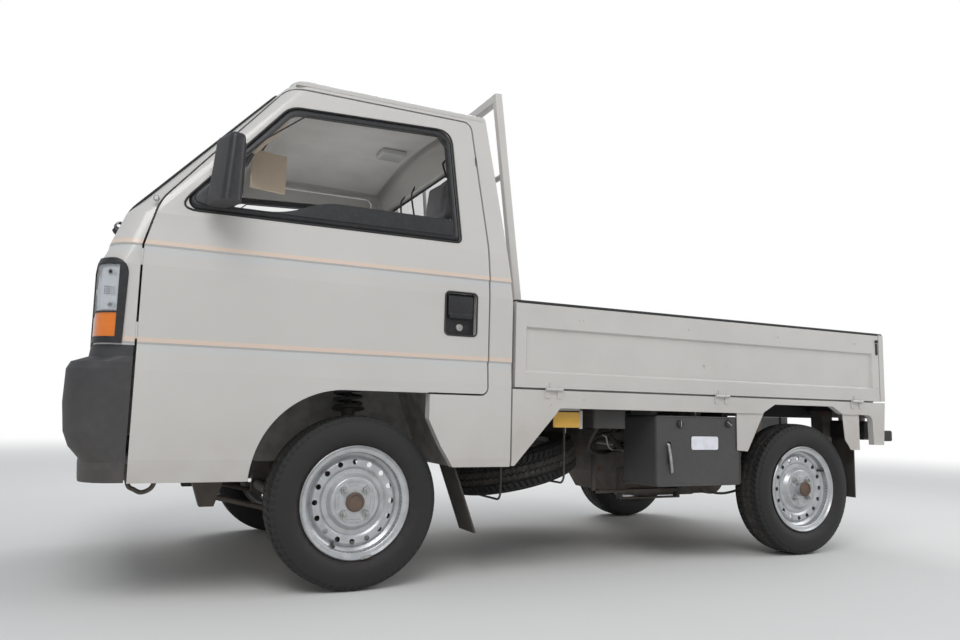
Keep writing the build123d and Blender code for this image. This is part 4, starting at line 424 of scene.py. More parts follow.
class Finish:
    """A material under construction, with helpers for the layers that most finishes share."""

    def __init__(self, name, colour, roughness, metallic=0.0, **plain):
        self.material = bpy.data.materials.new(name)
        self.material.use_nodes = True
        self.tree = self.material.node_tree
        self.shader = self.tree.nodes["Principled BSDF"]
        self.colour = tuple(colour)[:3] + (1.0,)
        self.roughness = roughness
        self.shader.inputs["Base Color"].default_value = self.colour
        self.shader.inputs["Roughness"].default_value = roughness
        self.shader.inputs["Metallic"].default_value = metallic
        for label, value in plain.items():
            socket = label.replace("_", " ").title().replace("Ior", "IOR")
            self.shader.inputs[socket].default_value = value
        self.position = self.tree.nodes.new("ShaderNodeTexCoord").outputs["Object"]
        FINISHES[name] = self.material

    def tint(self, factor, colour):
        """Mixes another colour in by a mask."""
        self.colour = mix_node(self.tree, factor, self.colour, colour)
        self.tree.links.new(self.colour, self.shader.inputs["Base Color"])

    def vary(self, scale, amount):
        """Slow changes of brightness over the surface."""
        cloud = noise_node(self.tree, self.position, scale)
        darker = math_node(self.tree, "MULTIPLY", range_node(self.tree, cloud, 0.3, 0.75), amount)
        self.tint(darker, (0.02, 0.02, 0.02))

    def dust(self, amount, low, high):
        """Road dust between two heights that also dulls the gloss."""
        layer = effect(self.tree, "road dust", Position=self.position, Clean=self.colour,
                       Dust=DUST, Amount=amount, Low=low, High=high)
        self.colour = layer.outputs["Colour"]
        self.tree.links.new(self.colour, self.shader.inputs["Base Color"])
        rough = range_node(self.tree, layer.outputs["Mask"], 0.0, 0.6, self.roughness,
                           max(self.roughness, 0.75), smooth=False)
        self.tree.links.new(rough, self.shader.inputs["Roughness"])

    def spots(self, colour, scale, threshold, softness=0.06, rough=None):
        """Worn or rusty spots of another colour."""
        layer = effect(self.tree, "worn spots", Position=self.position, Scale=scale,
                       Threshold=threshold, Softness=softness)
        self.tint(layer.outputs["Mask"], colour)
        if rough is not None:
            worn = range_node(self.tree, layer.outputs["Mask"], 0.0, 1.0, self.roughness, rough,
                              smooth=False)
            self.tree.links.new(worn, self.shader.inputs["Roughness"])

    def bump(self, height, strength, distance):
        """Relief from a height, through a Bump node."""
        node = self.tree.nodes.new("ShaderNodeBump")
        node.inputs["Strength"].default_value = strength
        node.inputs["Distance"].default_value = distance
        self.tree.links.new(height, node.inputs["Height"])
        self.tree.links.new(node.outputs["Normal"], self.shader.inputs["Normal"])

    def grain(self, scale, strength):
        """Fine moulded or cast grain; returns its slow variation."""
        layer = effect(self.tree, "surface grain", Position=self.position, Scale=scale)
        self.bump(layer.outputs["Height"], strength, GRAIN_HEIGHT)
        return layer.outputs["Variation"]

    def axis(self, label):
        """One coordinate of the surface point."""
        split = self.tree.nodes.new("ShaderNodeSeparateXYZ")
        self.tree.links.new(self.position, split.inputs[0])
        return split.outputs[label]

    def band(self, value, low, high, soft):
        """Mask that is 1 between low and high, with soft edges."""
        rise = range_node(self.tree, value, low - soft, low)
        fall = range_node(self.tree, value, high, high + soft, 1.0, 0.0)
        return math_node(self.tree, "MULTIPLY", rise, fall)


# Finishes
def make_cab_paint(colours):
    """Warm white cab paint with painted reflections at each body crease: a peach line of the ground
    over a pale blue band of the sky.
    """
    finish = Finish("cab paint", colours.paint, 0.3, coat_weight=0.6, coat_roughness=0.08)
    finish.vary(3.0, 0.05)
    height = finish.axis("Z")
    # Painted reflections: the facet just above each crease faces down and gets the ground's peach
    # line, the band below it the sky's pale blue
    for crease in BODY_CREASES:
        peach = finish.band(height, crease + 0.004, crease + 0.014, 0.003)
        finish.tint(math_node(finish.tree, "MULTIPLY", peach, 0.5), colours.crease_reflection)
        shade = finish.band(height, crease - 0.02, crease - 0.001, 0.006)
        finish.tint(math_node(finish.tree, "MULTIPLY", shade, 0.16), (0.5, 0.58, 0.68))
    finish.dust(0.35, 0.25, 0.62)
    noise = noise_node(finish.tree, finish.position, 230.0, 1.0)
    finish.bump(noise, 0.06, 0.0006)


def make_bed_paint(colours):
    """The same white on the bed, more scuffed and a little dirtier."""
    finish = Finish("bed paint", colours.paint, 0.36, coat_weight=0.3, coat_roughness=0.15)
    finish.vary(5.0, 0.07)
    finish.spots((0.4, 0.36, 0.3), 22.0, 0.66, 0.04, 0.6)
    finish.dust(0.38, 0.4, 0.72)
    noise = noise_node(finish.tree, finish.position, 180.0, 2.0)
    finish.bump(noise, 0.1, 0.0008)


def make_floor_paint(colours):
    """Bed floor paint, scratched along its ribs down to grey metal."""
    finish = Finish("bed floor paint", colours.paint, 0.45)
    finish.vary(6.0, 0.12)
    stretch = finish.tree.nodes.new("ShaderNodeMapping")
    stretch.inputs["Scale"].default_value = (0.12, 1.0, 1.0)
    finish.tree.links.new(finish.position, stretch.inputs["Vector"])
    streak = noise_node(finish.tree, stretch.outputs["Vector"], 90.0, 5.0, 0.65)
    finish.tint(range_node(finish.tree, streak, 0.6, 0.7, 0.0, 0.55), (0.3, 0.29, 0.27))
    finish.spots(RUST, 16.0, 0.7, 0.03, 0.85)
    finish.bump(streak, 0.2, 0.0005)


def make_glass(name, colour, clear):
    """Window glass: dark and glossy, seen through, with more of its gloss at a slant."""
    finish = Finish(name, colour, 0.02, specular_ior_level=0.6)
    slant = finish.tree.nodes.new("ShaderNodeLayerWeight")
    slant.inputs["Blend"].default_value = 0.5
    gloss = math_node(finish.tree, "POWER", slant.outputs["Facing"], 4.0)
    alpha = range_node(finish.tree, gloss, 0.0, 1.0, clear, 0.96, smooth=False)
    finish.tree.links.new(alpha, finish.shader.inputs["Alpha"])


def make_lens(name, colour, alpha, pitch):
    """Moulded lens: fine upright flutes, seen through by alpha."""
    finish = Finish(name, colour, 0.08, coat_weight=0.8, coat_roughness=0.03, alpha=alpha)
    split = finish.tree.nodes.new("ShaderNodeSeparateXYZ")
    finish.tree.links.new(finish.position, split.inputs[0])
    around = math_node(finish.tree, "ADD", split.outputs["X"], split.outputs["Y"])
    flute, row = [
        math_node(finish.tree, "SINE", math_node(finish.tree, "MULTIPLY", place, waves))
        for place, waves in ((around, 2 * math.pi / pitch), (split.outputs["Z"], 260.0))]
    relief = math_node(finish.tree, "ADD", flute, math_node(finish.tree, "MULTIPLY", row, 0.5))
    finish.bump(relief, 0.25, 0.0012)


def make_plastic(name, colour, roughness, grain, dust, strength=0.35):
    """Moulded plastic with a fine grain and some dust."""
    finish = Finish(name, colour, roughness)
    variation = finish.grain(grain, strength)
    finish.tint(range_node(finish.tree, variation, 0.35, 0.75, 0.0, 0.05), (0.18, 0.175, 0.17))
    finish.dust(dust, 0.2, 0.75)


def make_tyre_rubber(colours):
    """Tyre: dark, brownish towards the wheel, dusty on the tread."""
    finish = Finish("tyre rubber", colours.tyre, 0.72)
    finish.vary(14.0, 0.35)
    attribute = finish.tree.nodes.new("ShaderNodeUVMap")
    attribute.uv_map = "tyre"
    split = finish.tree.nodes.new("ShaderNodeSeparateXYZ")
    finish.tree.links.new(attribute.outputs["UV"], split.inputs[0])
    tread = split.outputs["Y"]
    cloud = noise_node(finish.tree, finish.position, 40.0, 5.0, 0.6)
    patchy = range_node(finish.tree, cloud, 0.3, 0.75, 0.1, 0.6)
    for low, high, colour in ((0.78, 0.97, (0.12, 0.105, 0.09)), (0.3, 0.02, (0.075, 0.058, 0.05))):
        place = range_node(finish.tree, tread, low, high)
        finish.tint(math_node(finish.tree, "MULTIPLY", place, patchy), colour)
    ring = math_node(finish.tree, "SINE", math_node(finish.tree, "MULTIPLY", tread, 330.0))
    relief = math_node(finish.tree, "ADD", cloud, math_node(finish.tree, "MULTIPLY", ring, 0.12))
    finish.bump(relief, 0.3, 0.0008)


def make_wheel_silver(colours):
    """Silver wheel paint with brake dust and small stone chips."""
    finish = Finish("wheel silver", colours.wheel, 0.34, metallic=0.6)
    finish.vary(30.0, 0.2)
    finish.spots(RUST, 60.0, 0.69, 0.02, 0.8)
    cloud = noise_node(finish.tree, finish.position, 24.0, 5.0, 0.65)
    finish.tint(range_node(finish.tree, cloud, 0.5, 0.8, 0.0, 0.35), (0.2, 0.165, 0.13))
    sparkle = noise_node(finish.tree, finish.position, 1600.0, 1.0)
    finish.bump(sparkle, 0.08, 0.0003)


def make_metal(name, colour, roughness, metallic, rust, grain=260.0, strength=0.5):
    """Cast or sheet metal with rust where rust is above nought, and road dust."""
    finish = Finish(name, colour, roughness, metallic)
    finish.vary(20.0, 0.4)
    if rust:
        finish.spots(RUST, 26.0, 0.66 - 0.2 * rust, 0.1, 0.85)
    finish.grain(grain, strength)
    finish.dust(0.45, 0.15, 0.7)


def make_seat_cloth(colours):
    """Grey seat cloth: crossing threads, darker between them, with a faint sheen."""
    finish = Finish("seat cloth", colours.seat, 0.9, sheen_weight=0.25, sheen_roughness=0.5)
    finish.vary(12.0, 0.2)
    weave = effect(finish.tree, "woven threads", Position=finish.position, Scale=1500.0)
    gaps = range_node(finish.tree, weave.outputs["Mask"], 0.0, 1.0, 0.35, 0.0)
    finish.tint(gaps, (0.05, 0.05, 0.055))
    finish.bump(weave.outputs["Height"], 0.5, 0.0006)


def make_soft_lining():
    """Padded headliner: pale grey vinyl with soft folds."""
    finish = Finish("soft lining", (0.72, 0.7, 0.67), 0.7)
    finish.vary(7.0, 0.12)
    cloud = noise_node(finish.tree, finish.position, 9.0, 3.0)
    finish.bump(cloud, 0.5, 0.006)


def make_label_white():
    """Blank pale sticker with small stains."""
    finish = Finish("blank label", (0.78, 0.79, 0.84), 0.35)
    finish.vary(40.0, 0.12)
    finish.spots((0.5, 0.5, 0.55), 60.0, 0.7, 0.05)


def make_chrome():
    """Bright reflector and bare steel, slightly hazy."""
    finish = Finish("bright metal", (0.82, 0.84, 0.87), 0.12, metallic=1.0)
    haze = noise_node(finish.tree, finish.position, 50.0, 3.0)
    rough = range_node(finish.tree, haze, 0.3, 0.8, 0.06, 0.28)
    finish.tree.links.new(rough, finish.shader.inputs["Roughness"])


def make_zinc():
    """Plated bolts, hooks and brackets, dull and a little stained."""
    finish = Finish("zinc plate", (0.5, 0.5, 0.48), 0.42, metallic=0.8)
    finish.vary(60.0, 0.35)
    finish.spots(RUST, 90.0, 0.62, 0.06, 0.8)
    finish.grain(900.0, 0.3)


def make_all_finishes(colours):
    """Makes every finish once; the colours that a user may change come in as colours."""
    make_cab_paint(colours)
    make_bed_paint(colours)
    make_floor_paint(colours)
    make_glass("window glass", (0.02, 0.025, 0.025), 0.05)
    make_lens("lamp glass", (0.75, 0.79, 0.83), 0.3, 0.007)
    make_lens("amber lens", colours.amber, 0.93, 0.006)
    make_lens("yellow lens", (0.72, 0.4, 0.035), 0.93, 0.006)
    make_lens("red lens", (0.42, 0.015, 0.01), 0.96, 0.006)
    make_lens("white lens", (0.7, 0.7, 0.68), 0.8, 0.006)
    make_plastic("black plastic", (0.016, 0.016, 0.018), 0.42, 900.0, 0.1, 0.2)
    make_plastic("bumper plastic", colours.bumper, 0.55, 520.0, 0.2, 0.6)
    make_plastic("dash plastic", (0.06, 0.06, 0.065), 0.6, 700.0, 0.1, 0.5)
    make_plastic("box plastic", colours.box, 0.5, 800.0, 0.1, 0.3)
    make_plastic("beige vinyl", (0.72, 0.6, 0.46), 0.65, 500.0, 0.0, 0.4)
    make_plastic("soft rubber", (0.017, 0.017, 0.018), 0.7, 300.0, 0.2, 0.4)
    make_tyre_rubber(colours)
    make_wheel_silver(colours)
    make_metal("frame black", (0.03, 0.03, 0.032), 0.5, 0.0, 0.25)
    make_metal("cast metal", (0.16, 0.155, 0.15), 0.6, 0.5, 0.55, 180.0, 0.8)
    make_metal("exhaust steel", (0.3, 0.27, 0.24), 0.5, 0.85, 0.7)
    make_metal("brown hub", (0.07, 0.032, 0.02), 0.75, 0.2, 0.5, 300.0, 0.7)
    # Paint of the cab floor and the wheel arches: the body's white laid down as mid grey, painted
    # shade for the inside of the arches
    make_metal("shaded inner paint", (0.34, 0.33, 0.315), 0.5, 0.0, 0.1)
    make_seat_cloth(colours)
    make_soft_lining()
    make_label_white()
    make_chrome()
    make_zinc()


NODE_FINISHES = {
    "cab_front_panel": "cab paint", "cab_side_panels": "cab paint", "cab_back_panel": "cab paint",
    "roof": "cab paint", "door_left": "cab paint", "door_right": "cab paint",
    "windscreen": "window glass", "rear_window": "window glass",
    "door_glass_left": "window glass", "door_glass_right": "window glass",
    "door_trim_left": "black plastic", "door_trim_right": "black plastic",
    "lamp_bezels": "black plastic", "headlamps": "lamp glass", "indicators": "amber lens",
    "bumper": "bumper plastic", "cab_floor": "shaded inner paint", "dashboard": "dash plastic",
    "seat_left": "seat cloth", "seat_right": "seat cloth", "steering_wheel": "black plastic",
    "bed_floor": "bed floor paint", "bed_side_left": "bed paint", "bed_side_right": "bed paint",
    "rear_beam": "bed paint", "tailgate": "bed paint",
    "side_gate_left": "bed paint", "side_gate_right": "bed paint",
    "tail_lamps": "black plastic", "rear_stops": "soft rubber", "guard_frame": "bed paint",
    "chassis_frame": "frame black", "spare_cradles": "frame black", "front_arms": "frame black",
    "rear_axle": "cast metal", "leaf_springs": "cast metal", "engine_block": "cast metal",
    "exhaust": "exhaust steel", "battery_box": "box plastic", "fuel_tank": "frame black",
    "spare_tyre": "soft rubber", "spare_rim": "wheel silver", "underbody_covers": "frame black",
    "mud_flaps": "soft rubber", "brake_hose": "soft rubber",
    "front_strut_left": "frame black", "front_strut_right": "frame black",
}


def node_finish(node):
    """The name of a CAD node's finish; wheels share theirs by what they are."""
    if node.startswith("tyre_"):
        return "soft rubber"
    if node.startswith("rim_"):
        return "wheel silver"
    return NODE_FINISHES[node]


# Values that a user may change
def colour_property(name, description, default):
    """A colour with its name, description and default."""
    return FloatVectorProperty(name=name, description=description, default=default,
                               subtype="COLOR", size=3, min=0.0, max=1.0)


class TRUCK_PG_colours(bpy.types.PropertyGroup):
    """Colours of the truck's main finishes."""
    paint: colour_property("Paint", "Warm white of the cab and the bed", (0.57, 0.552, 0.525))
    # Colour of the painted reflection of the ground, laid as a peach line on the facet above each
    # body crease
    crease_reflection: colour_property("Crease line", "Peach line above a body crease", (0.8, 0.56, 0.4))
    bumper: colour_property("Bumper", "Grained bumper plastic", (0.04, 0.04, 0.043))
    box: colour_property("Battery box", "Cover of the box under the bed", (0.05, 0.05, 0.053))
    tyre: colour_property("Tyre", "Clean tyre rubber", (0.018, 0.0175, 0.018))
    wheel: colour_property("Wheel", "Silver paint of the steel wheels", (0.56, 0.57, 0.58))
    seat: colour_property("Seat", "Seat cloth", (0.17, 0.17, 0.18))
    amber: colour_property("Amber", "Front indicator lenses", (0.82, 0.2, 0.006))


class TRUCK_PG_sizes(bpy.types.PropertyGroup):
    """Sizes of the added detail."""
    tread_depth: FloatProperty(name="Tread depth", description="Depth of the tyre grooves",
                               default=0.0055, unit="LENGTH")
    tread_pitches: IntProperty(name="Tread pitches", description="Tread blocks round a tyre",
                               default=72, min=24)
    seal_width: FloatProperty(name="Seal width", description="Rubber seal on the gate tops",
                              default=0.033, unit="LENGTH")


def colours():
    """The scene's colour values."""
    return bpy.context.scene.truck_colours


def sizes():
    """The scene's size values."""
    return bpy.context.scene.truck_sizes


# Camera, floor and light; the camera was fitted to the photograph, in metres and radians
CAMERA_PLACE = (1.482, 2.964, 0.553)
CAMERA_YAW = 0.4452
CAMERA_PITCH = 0.1182
CAMERA_ROLL = 0.0242
SENSOR = 36
PHOTO_WIDTH = 960
FOCAL_PIXELS = 763.3
SKY_STRENGTH = 0.62
# Area lights: name, place, size and power; the one in the cab shines at its roof
LIGHTS = (("key", (2.6, 4.2, 5.0), 3.2, 150.0), ("fill", (-4.5, 2.6, 3.4), 3.0, 74.0),
          ("back", (-1.5, -4.6, 4.2), 3.0, 108.0), ("cabin", (0.72, 0.0, 1.2), 0.7, 1.0))
LIT_PLACE = (0, 0, 0.6)


def placed(across, up, back, place):
    """The matrix of a camera or a lamp from its three axes and its place."""
    matrix = np.eye(4)
    matrix[:3] = np.stack([across, up, back, place], 1)
    return Matrix(matrix.tolist())


def add_camera(scene):
    """The photograph's camera: ahead turned by yaw and pitch, its right and up turned by roll."""
    ahead = np.array([-math.sin(CAMERA_YAW) * math.cos(CAMERA_PITCH),
                      -math.cos(CAMERA_YAW) * math.cos(CAMERA_PITCH), math.sin(CAMERA_PITCH)])
    right = unit(np.cross(ahead, [0, 0, 1]))
    up = np.cross(right, ahead)
    rolled_right = right * math.cos(CAMERA_ROLL) + up * math.sin(CAMERA_ROLL)
    rolled_up = np.cross(rolled_right, ahead)
    data = bpy.data.cameras.new("camera")
    data.lens = FOCAL_PIXELS / PHOTO_WIDTH * SENSOR
    data.sensor_width = SENSOR
    data.clip_end = 200
    camera = bpy.data.objects.new("camera", data)
    scene.collection.objects.link(camera)
    camera.matrix_world = placed(rolled_right, rolled_up, -ahead, CAMERA_PLACE)
    scene.camera = camera


def add_floor(scene):
    """A round pale floor that fades into plain white far off, where the camera sees it."""
    finish = Finish("pale floor", (0.72, 0.71, 0.69), 0.8)
    tree = finish.tree
    cloud = noise_node(tree, finish.position, 1.3, 6.0, 0.6)
    finish.tint(range_node(tree, cloud, 0.35, 0.75, 0.0, 0.05), (0.5, 0.48, 0.45))
    length = tree.nodes.new("ShaderNodeVectorMath")
    length.operation = "LENGTH"
    tree.links.new(finish.position, length.inputs[0])
    far = range_node(tree, length.outputs["Value"], 4.0, 11.0)
    light_path = tree.nodes.new("ShaderNodeLightPath")
    glow = tree.nodes.new("ShaderNodeEmission")
    glow.inputs["Strength"].default_value = 1.0
    blend = tree.nodes.new("ShaderNodeMixShader")
    tree.links.new(math_node(tree, "MULTIPLY", far, light_path.outputs["Is Camera Ray"]),
                   blend.inputs["Fac"])
    tree.links.new(finish.shader.outputs["BSDF"], blend.inputs[1])
    tree.links.new(glow.outputs["Emission"], blend.inputs[2])
    tree.links.new(blend.outputs["Shader"], tree.nodes["Material Output"].inputs["Surface"])
    turn = np.linspace(0, 2 * math.pi, 96, endpoint=False)
    rings = np.array([0.0, 3.0, 8.0, 20.0, 60.0])[:, None]
    points = np.stack([rings * np.cos(turn), rings * np.sin(turn), 0 * rings * turn], -1)
    mesh = bpy.data.meshes.new("floor")
    flat, faces = skin(points)
    mesh.from_pydata(flat.tolist(), [], [face[::-1] for face in faces])
    mesh.materials.append(finish.material)
    floor = bpy.data.objects.new("floor", mesh)
    scene.collection.objects.link(floor)


def add_sky(scene):
    """Soft light, warmer below and bluer above; the camera sees plain white instead."""
    world = bpy.data.worlds.new("studio")
    world.use_nodes = True
    scene.world = world
    sky = world.node_tree
    soft = sky.nodes["Background"]
    position = sky.nodes.new("ShaderNodeTexCoord").outputs["Generated"]
    split = sky.nodes.new("ShaderNodeSeparateXYZ")
    sky.links.new(position, split.inputs[0])
    height = range_node(sky, split.outputs["Z"], -0.1, 0.9)
    shade = mix_node(sky, height, (0.96, 0.95, 0.94), (0.86, 0.92, 1.0))
    sky.links.new(shade, soft.inputs["Color"])
    soft.inputs["Strength"].default_value = SKY_STRENGTH
    plain = sky.nodes.new("ShaderNodeBackground")
    plain.inputs["Color"].default_value = (1, 1, 1, 1)
    seen = sky.nodes.new("ShaderNodeLightPath").outputs["Is Camera Ray"]
    either = sky.nodes.new("ShaderNodeMixShader")
    sky.links.new(seen, either.inputs["Fac"])
    sky.links.new(soft.outputs["Background"], either.inputs[1])
    sky.links.new(plain.outputs["Background"], either.inputs[2])
    sky.links.new(either.outputs["Shader"], sky.nodes["World Output"].inputs["Surface"])


def add_lights(scene):
    """Area lights turned towards the truck, and a weak one in the cab turned towards its roof."""
    for name, place, size, power in LIGHTS:
        lamp = bpy.data.lights.new(name, "AREA")
        lamp.size = size
        lamp.energy = power
        lamp_object = bpy.data.objects.new(name, lamp)
        scene.collection.objects.link(lamp_object)
        lamp_object.visible_camera = False
        toward = unit([0.05, 0, 1] if name == "cabin" else np.subtract(LIT_PLACE, place))
        side = unit(np.cross(toward, [0, 1, 0.01]))
        lamp_object.matrix_world = placed(side, np.cross(side, toward), -toward, place)


class TRUCK_OT_stage(bpy.types.Operator):
    """Camera of the photograph, a pale floor and soft studio light"""
    bl_idname = "truck.stage"
    bl_label = "Stage"

    def execute(self, context):
        add_camera(context.scene)
        add_floor(context.scene)
        add_sky(context.scene)
        add_lights(context.scene)
        context.scene.view_settings.view_transform = "Standard"
        return {"FINISHED"}


class TRUCK_OT_finishes(bpy.types.Operator):
    """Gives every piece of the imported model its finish"""
    bl_idname = "truck.finishes"
    bl_label = "Finishes"

    def execute(self, context):
        make_all_finishes(colours())
        for name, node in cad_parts.items():
            node.data.materials.clear()
            node.data.materials.append(FINISHES[node_finish(name)])
        return {"FINISHED"}


# Tyres and wheels

# Half of a tyre's section from the bead out to the tread's middle: radius, half width
TYRE_SIDE = np.array((
    (0.1556, 0.0492), (0.162, 0.0525), (0.1705, 0.0512), (0.1745, 0.0545), (0.179, 0.0565),
    (0.183, 0.0600), (0.190, 0.0660), (0.198, 0.0702), (0.207, 0.0722), (0.216, 0.0724),
    (0.225, 0.0714), (0.234, 0.0693), (0.241, 0.0668), (0.2465, 0.0651), (0.2475, 0.0634),
    (0.253, 0.0604), (0.2575, 0.0577), (0.2605, 0.0545)))
TREAD_HALF = 0.0545
TREAD_ROWS = 37
CROWN_DROP = 0.0045
# The zigzag grooves: place across the tread and swing to each side
GROOVES = ((-0.027, 0.0026), (0.0, 0.0034), (0.027, 0.0026))
GROOVE_HALF = 0.0032
# Slots between the shoulder blocks: where they start, their slant and their share of a pitch
SLOT_START, SLOT_SLANT, SLOT_SHARE = 0.034, 18, 0.26
# Fine cuts across the middle ribs: where they end, half their width and their share of the depth
CUT_END, CUT_HALF, CUT_DEPTH = 0.024, 0.07, 0.45
# Notches in the shoulders: half widths and least radius where they lie, and their measures
NOTCH_NEAR, NOTCH_FAR, NOTCH_RADIUS = 0.0570, 0.0650, 0.246
NOTCH_SHARE, NOTCH_DEPTH, NOTCH_INSET = 0.3, 0.0022, 0.0012


def tyre_points(pitches, depth):
    """A tyre about the origin: the turn round its axis by the place across its section.

    Tread radius = crown curve - depth * groove mask; the mask is three zigzag grooves, slanted
    slots between the shoulder blocks, and fine cuts across the middle ribs. The second UV number
    grows from 0 at the bead to 1 in the middle of the tread.
    """
    steps = pitches * 8
    turn = np.linspace(0, 2 * math.pi, steps, endpoint=False)
    across = np.linspace(-TREAD_HALF, TREAD_HALF, TREAD_ROWS + 2)[1:-1]
    crown = TYRE_RADIUS - CROWN_DROP * (np.abs(across) / TREAD_HALF) ** 2.6
    place = np.concatenate([-TYRE_SIDE[:, 1], across, TYRE_SIDE[::-1, 1]])
    half = np.abs(place)
    radius = np.concatenate([TYRE_SIDE[:, 0], crown, TYRE_SIDE[::-1, 0]])
    phase = (turn * pitches / (2 * math.pi))[:, None]
    zigzag = 2 * np.abs(2 * (phase % 1) - 1) - 1
    groove = np.zeros((steps, len(place)))
    for middle, swing in GROOVES:
        groove = np.maximum(groove, np.abs(place - middle - swing * zigzag) < GROOVE_HALF)
    slant = (phase + half * SLOT_SLANT) % 1
    groove = np.maximum(groove, (half > SLOT_START) & (slant < SLOT_SHARE))
    cut = (half < CUT_END) & (np.abs(phase % 1 - 0.5) < CUT_HALF)
    groove = np.maximum(groove, CUT_DEPTH * cut)
    shoulder = (half >= NOTCH_NEAR) & (half < NOTCH_FAR) & (radius > NOTCH_RADIUS)
    notch = shoulder & (slant < NOTCH_SHARE)
    deep = radius - depth * groove * (half < TREAD_HALF) - NOTCH_DEPTH * notch
    inward = np.where(notch, half - NOTCH_INSET, half) * np.sign(place)
    points = np.stack([deep * np.cos(turn)[:, None], inward, deep * np.sin(turn)[:, None]], -1)
    rise = np.linspace(0, 0.55, len(TYRE_SIDE))
    mark = np.concatenate([rise, 1 - 0.3 * np.abs(across) / TREAD_HALF, rise[::-1]])
    across_mark = np.where(np.arange(len(mark)) < len(rise), mark * 1.3, mark)
    uv = np.stack(np.broadcast_arrays(turn[:, None] / (2 * math.pi), across_mark[None]), -1)
    return points, uv


def add_tyre(name, node, body, turn, shift, pitches, depth):
    """One tyre in place of its plain solid, with a UV map round and across it."""
    points, uv = tyre_points(pitches, depth)
    mesh = new_mesh(name, skin(points @ np.asarray(turn).T + np.asarray(shift), wrap_rows=True))
    layer = mesh.uv_layers.new(name="tyre")
    corners = np.zeros(len(mesh.loops), np.int32)
    mesh.loops.foreach_get("vertex_index", corners)
    layer.data.foreach_set("uv", uv.reshape(-1, 2)[corners].astype(np.float32).ravel())
    piece = new_object(name, mesh, "tyre rubber", crease=40)
    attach(piece, body)
    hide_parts(node)


WHEELS = [(end, side) for end in ("front", "rear") for side in ("left", "right")]
STUD_CIRCLE = 0.050
WEIGHT_CIRCLE = 0.1685
WEIGHT_Y = 0.0612
# Height of the hub cap over the hub face, turn of the valve and turn of the balance weight
WHEEL_FITTINGS = {"front": (0.010, math.radians(-64), math.radians(-103)),
                  "rear": (0.026, math.radians(150), math.radians(40))}
SPARE_TURN = np.array([
    [math.cos(SPARE_TILT), math.sin(SPARE_TILT), 0.0], [0.0, 0.0, -1.0],
    [-math.sin(SPARE_TILT), math.cos(SPARE_TILT), 0.0]])


class TRUCK_OT_tyres(bpy.types.Operator):
    """Tyres with treads on all wheels and on the spare"""
    bl_idname = "truck.tyres"
    bl_label = "Tyres"

    def execute(self, context):
        pitches, depth = sizes().tread_pitches, sizes().tread_depth
        for end, side in WHEELS:
            shift = (WHEEL_X[end], SIDES[side] * WHEEL_Y, WHEEL_Z)
            add_tyre(f"treaded_tyre_{end}_{side}", f"tyre_{end}_{side}", f"wheel_{end}_{side}",
                     np.diag([1, SIDES[side], 1]), shift, pitches, depth)
        add_tyre("treaded_tyre_spare", "spare_tyre", "chassis", SPARE_TURN, SPARE_CENTRE,
                 pitches, depth)
        return {"FINISHED"}


def on_wheel(shape, end, side):
    """A shape drawn on the left wheel's own centre, put on one of the four wheels."""
    placed = moved(shape, (np.eye(3), (WHEEL_X[end], WHEEL_Y, WHEEL_Z)))
    return placed if SIDES[side] > 0 else mirrored(placed)


def on_hub(*profile):
    """A turned profile whose first numbers are measured outwards from the hub face."""
    return np.array(profile) + [HUB_FACE, 0]


def hub_pad(turn):
    """Bean-shaped raised outline on the hub face, between two nuts."""
    inner, outer, reach = 0.0515, 0.060, 0.27
    bend = np.linspace(-reach, reach, 9)
    arc = np.stack([np.cos(bend), np.sin(bend)], 1)
    ends = np.linspace(0, math.pi, 7)[1:-1, None]
    tip = np.array([math.cos(reach), math.sin(reach)])
    across = np.array([-math.sin(reach), math.cos(reach)])
    cap = tip * (outer + inner) / 2
    cap = cap + (outer - inner) / 2 * (np.cos(ends) * tip + np.sin(ends) * across)
    loop = np.concatenate([outer * arc, cap, inner * arc[::-1], cap[::-1] * [1, -1]])
    loop = loop @ [[math.cos(turn), math.sin(turn)], [-math.sin(turn), math.cos(turn)]]
    path = np.stack([loop[:, 0], np.full(len(loop), HUB_FACE + 0.0022), loop[:, 1]], 1)
    return carried(round_outline(0.0016, 8), path, (0, 1, 0), closed=True)


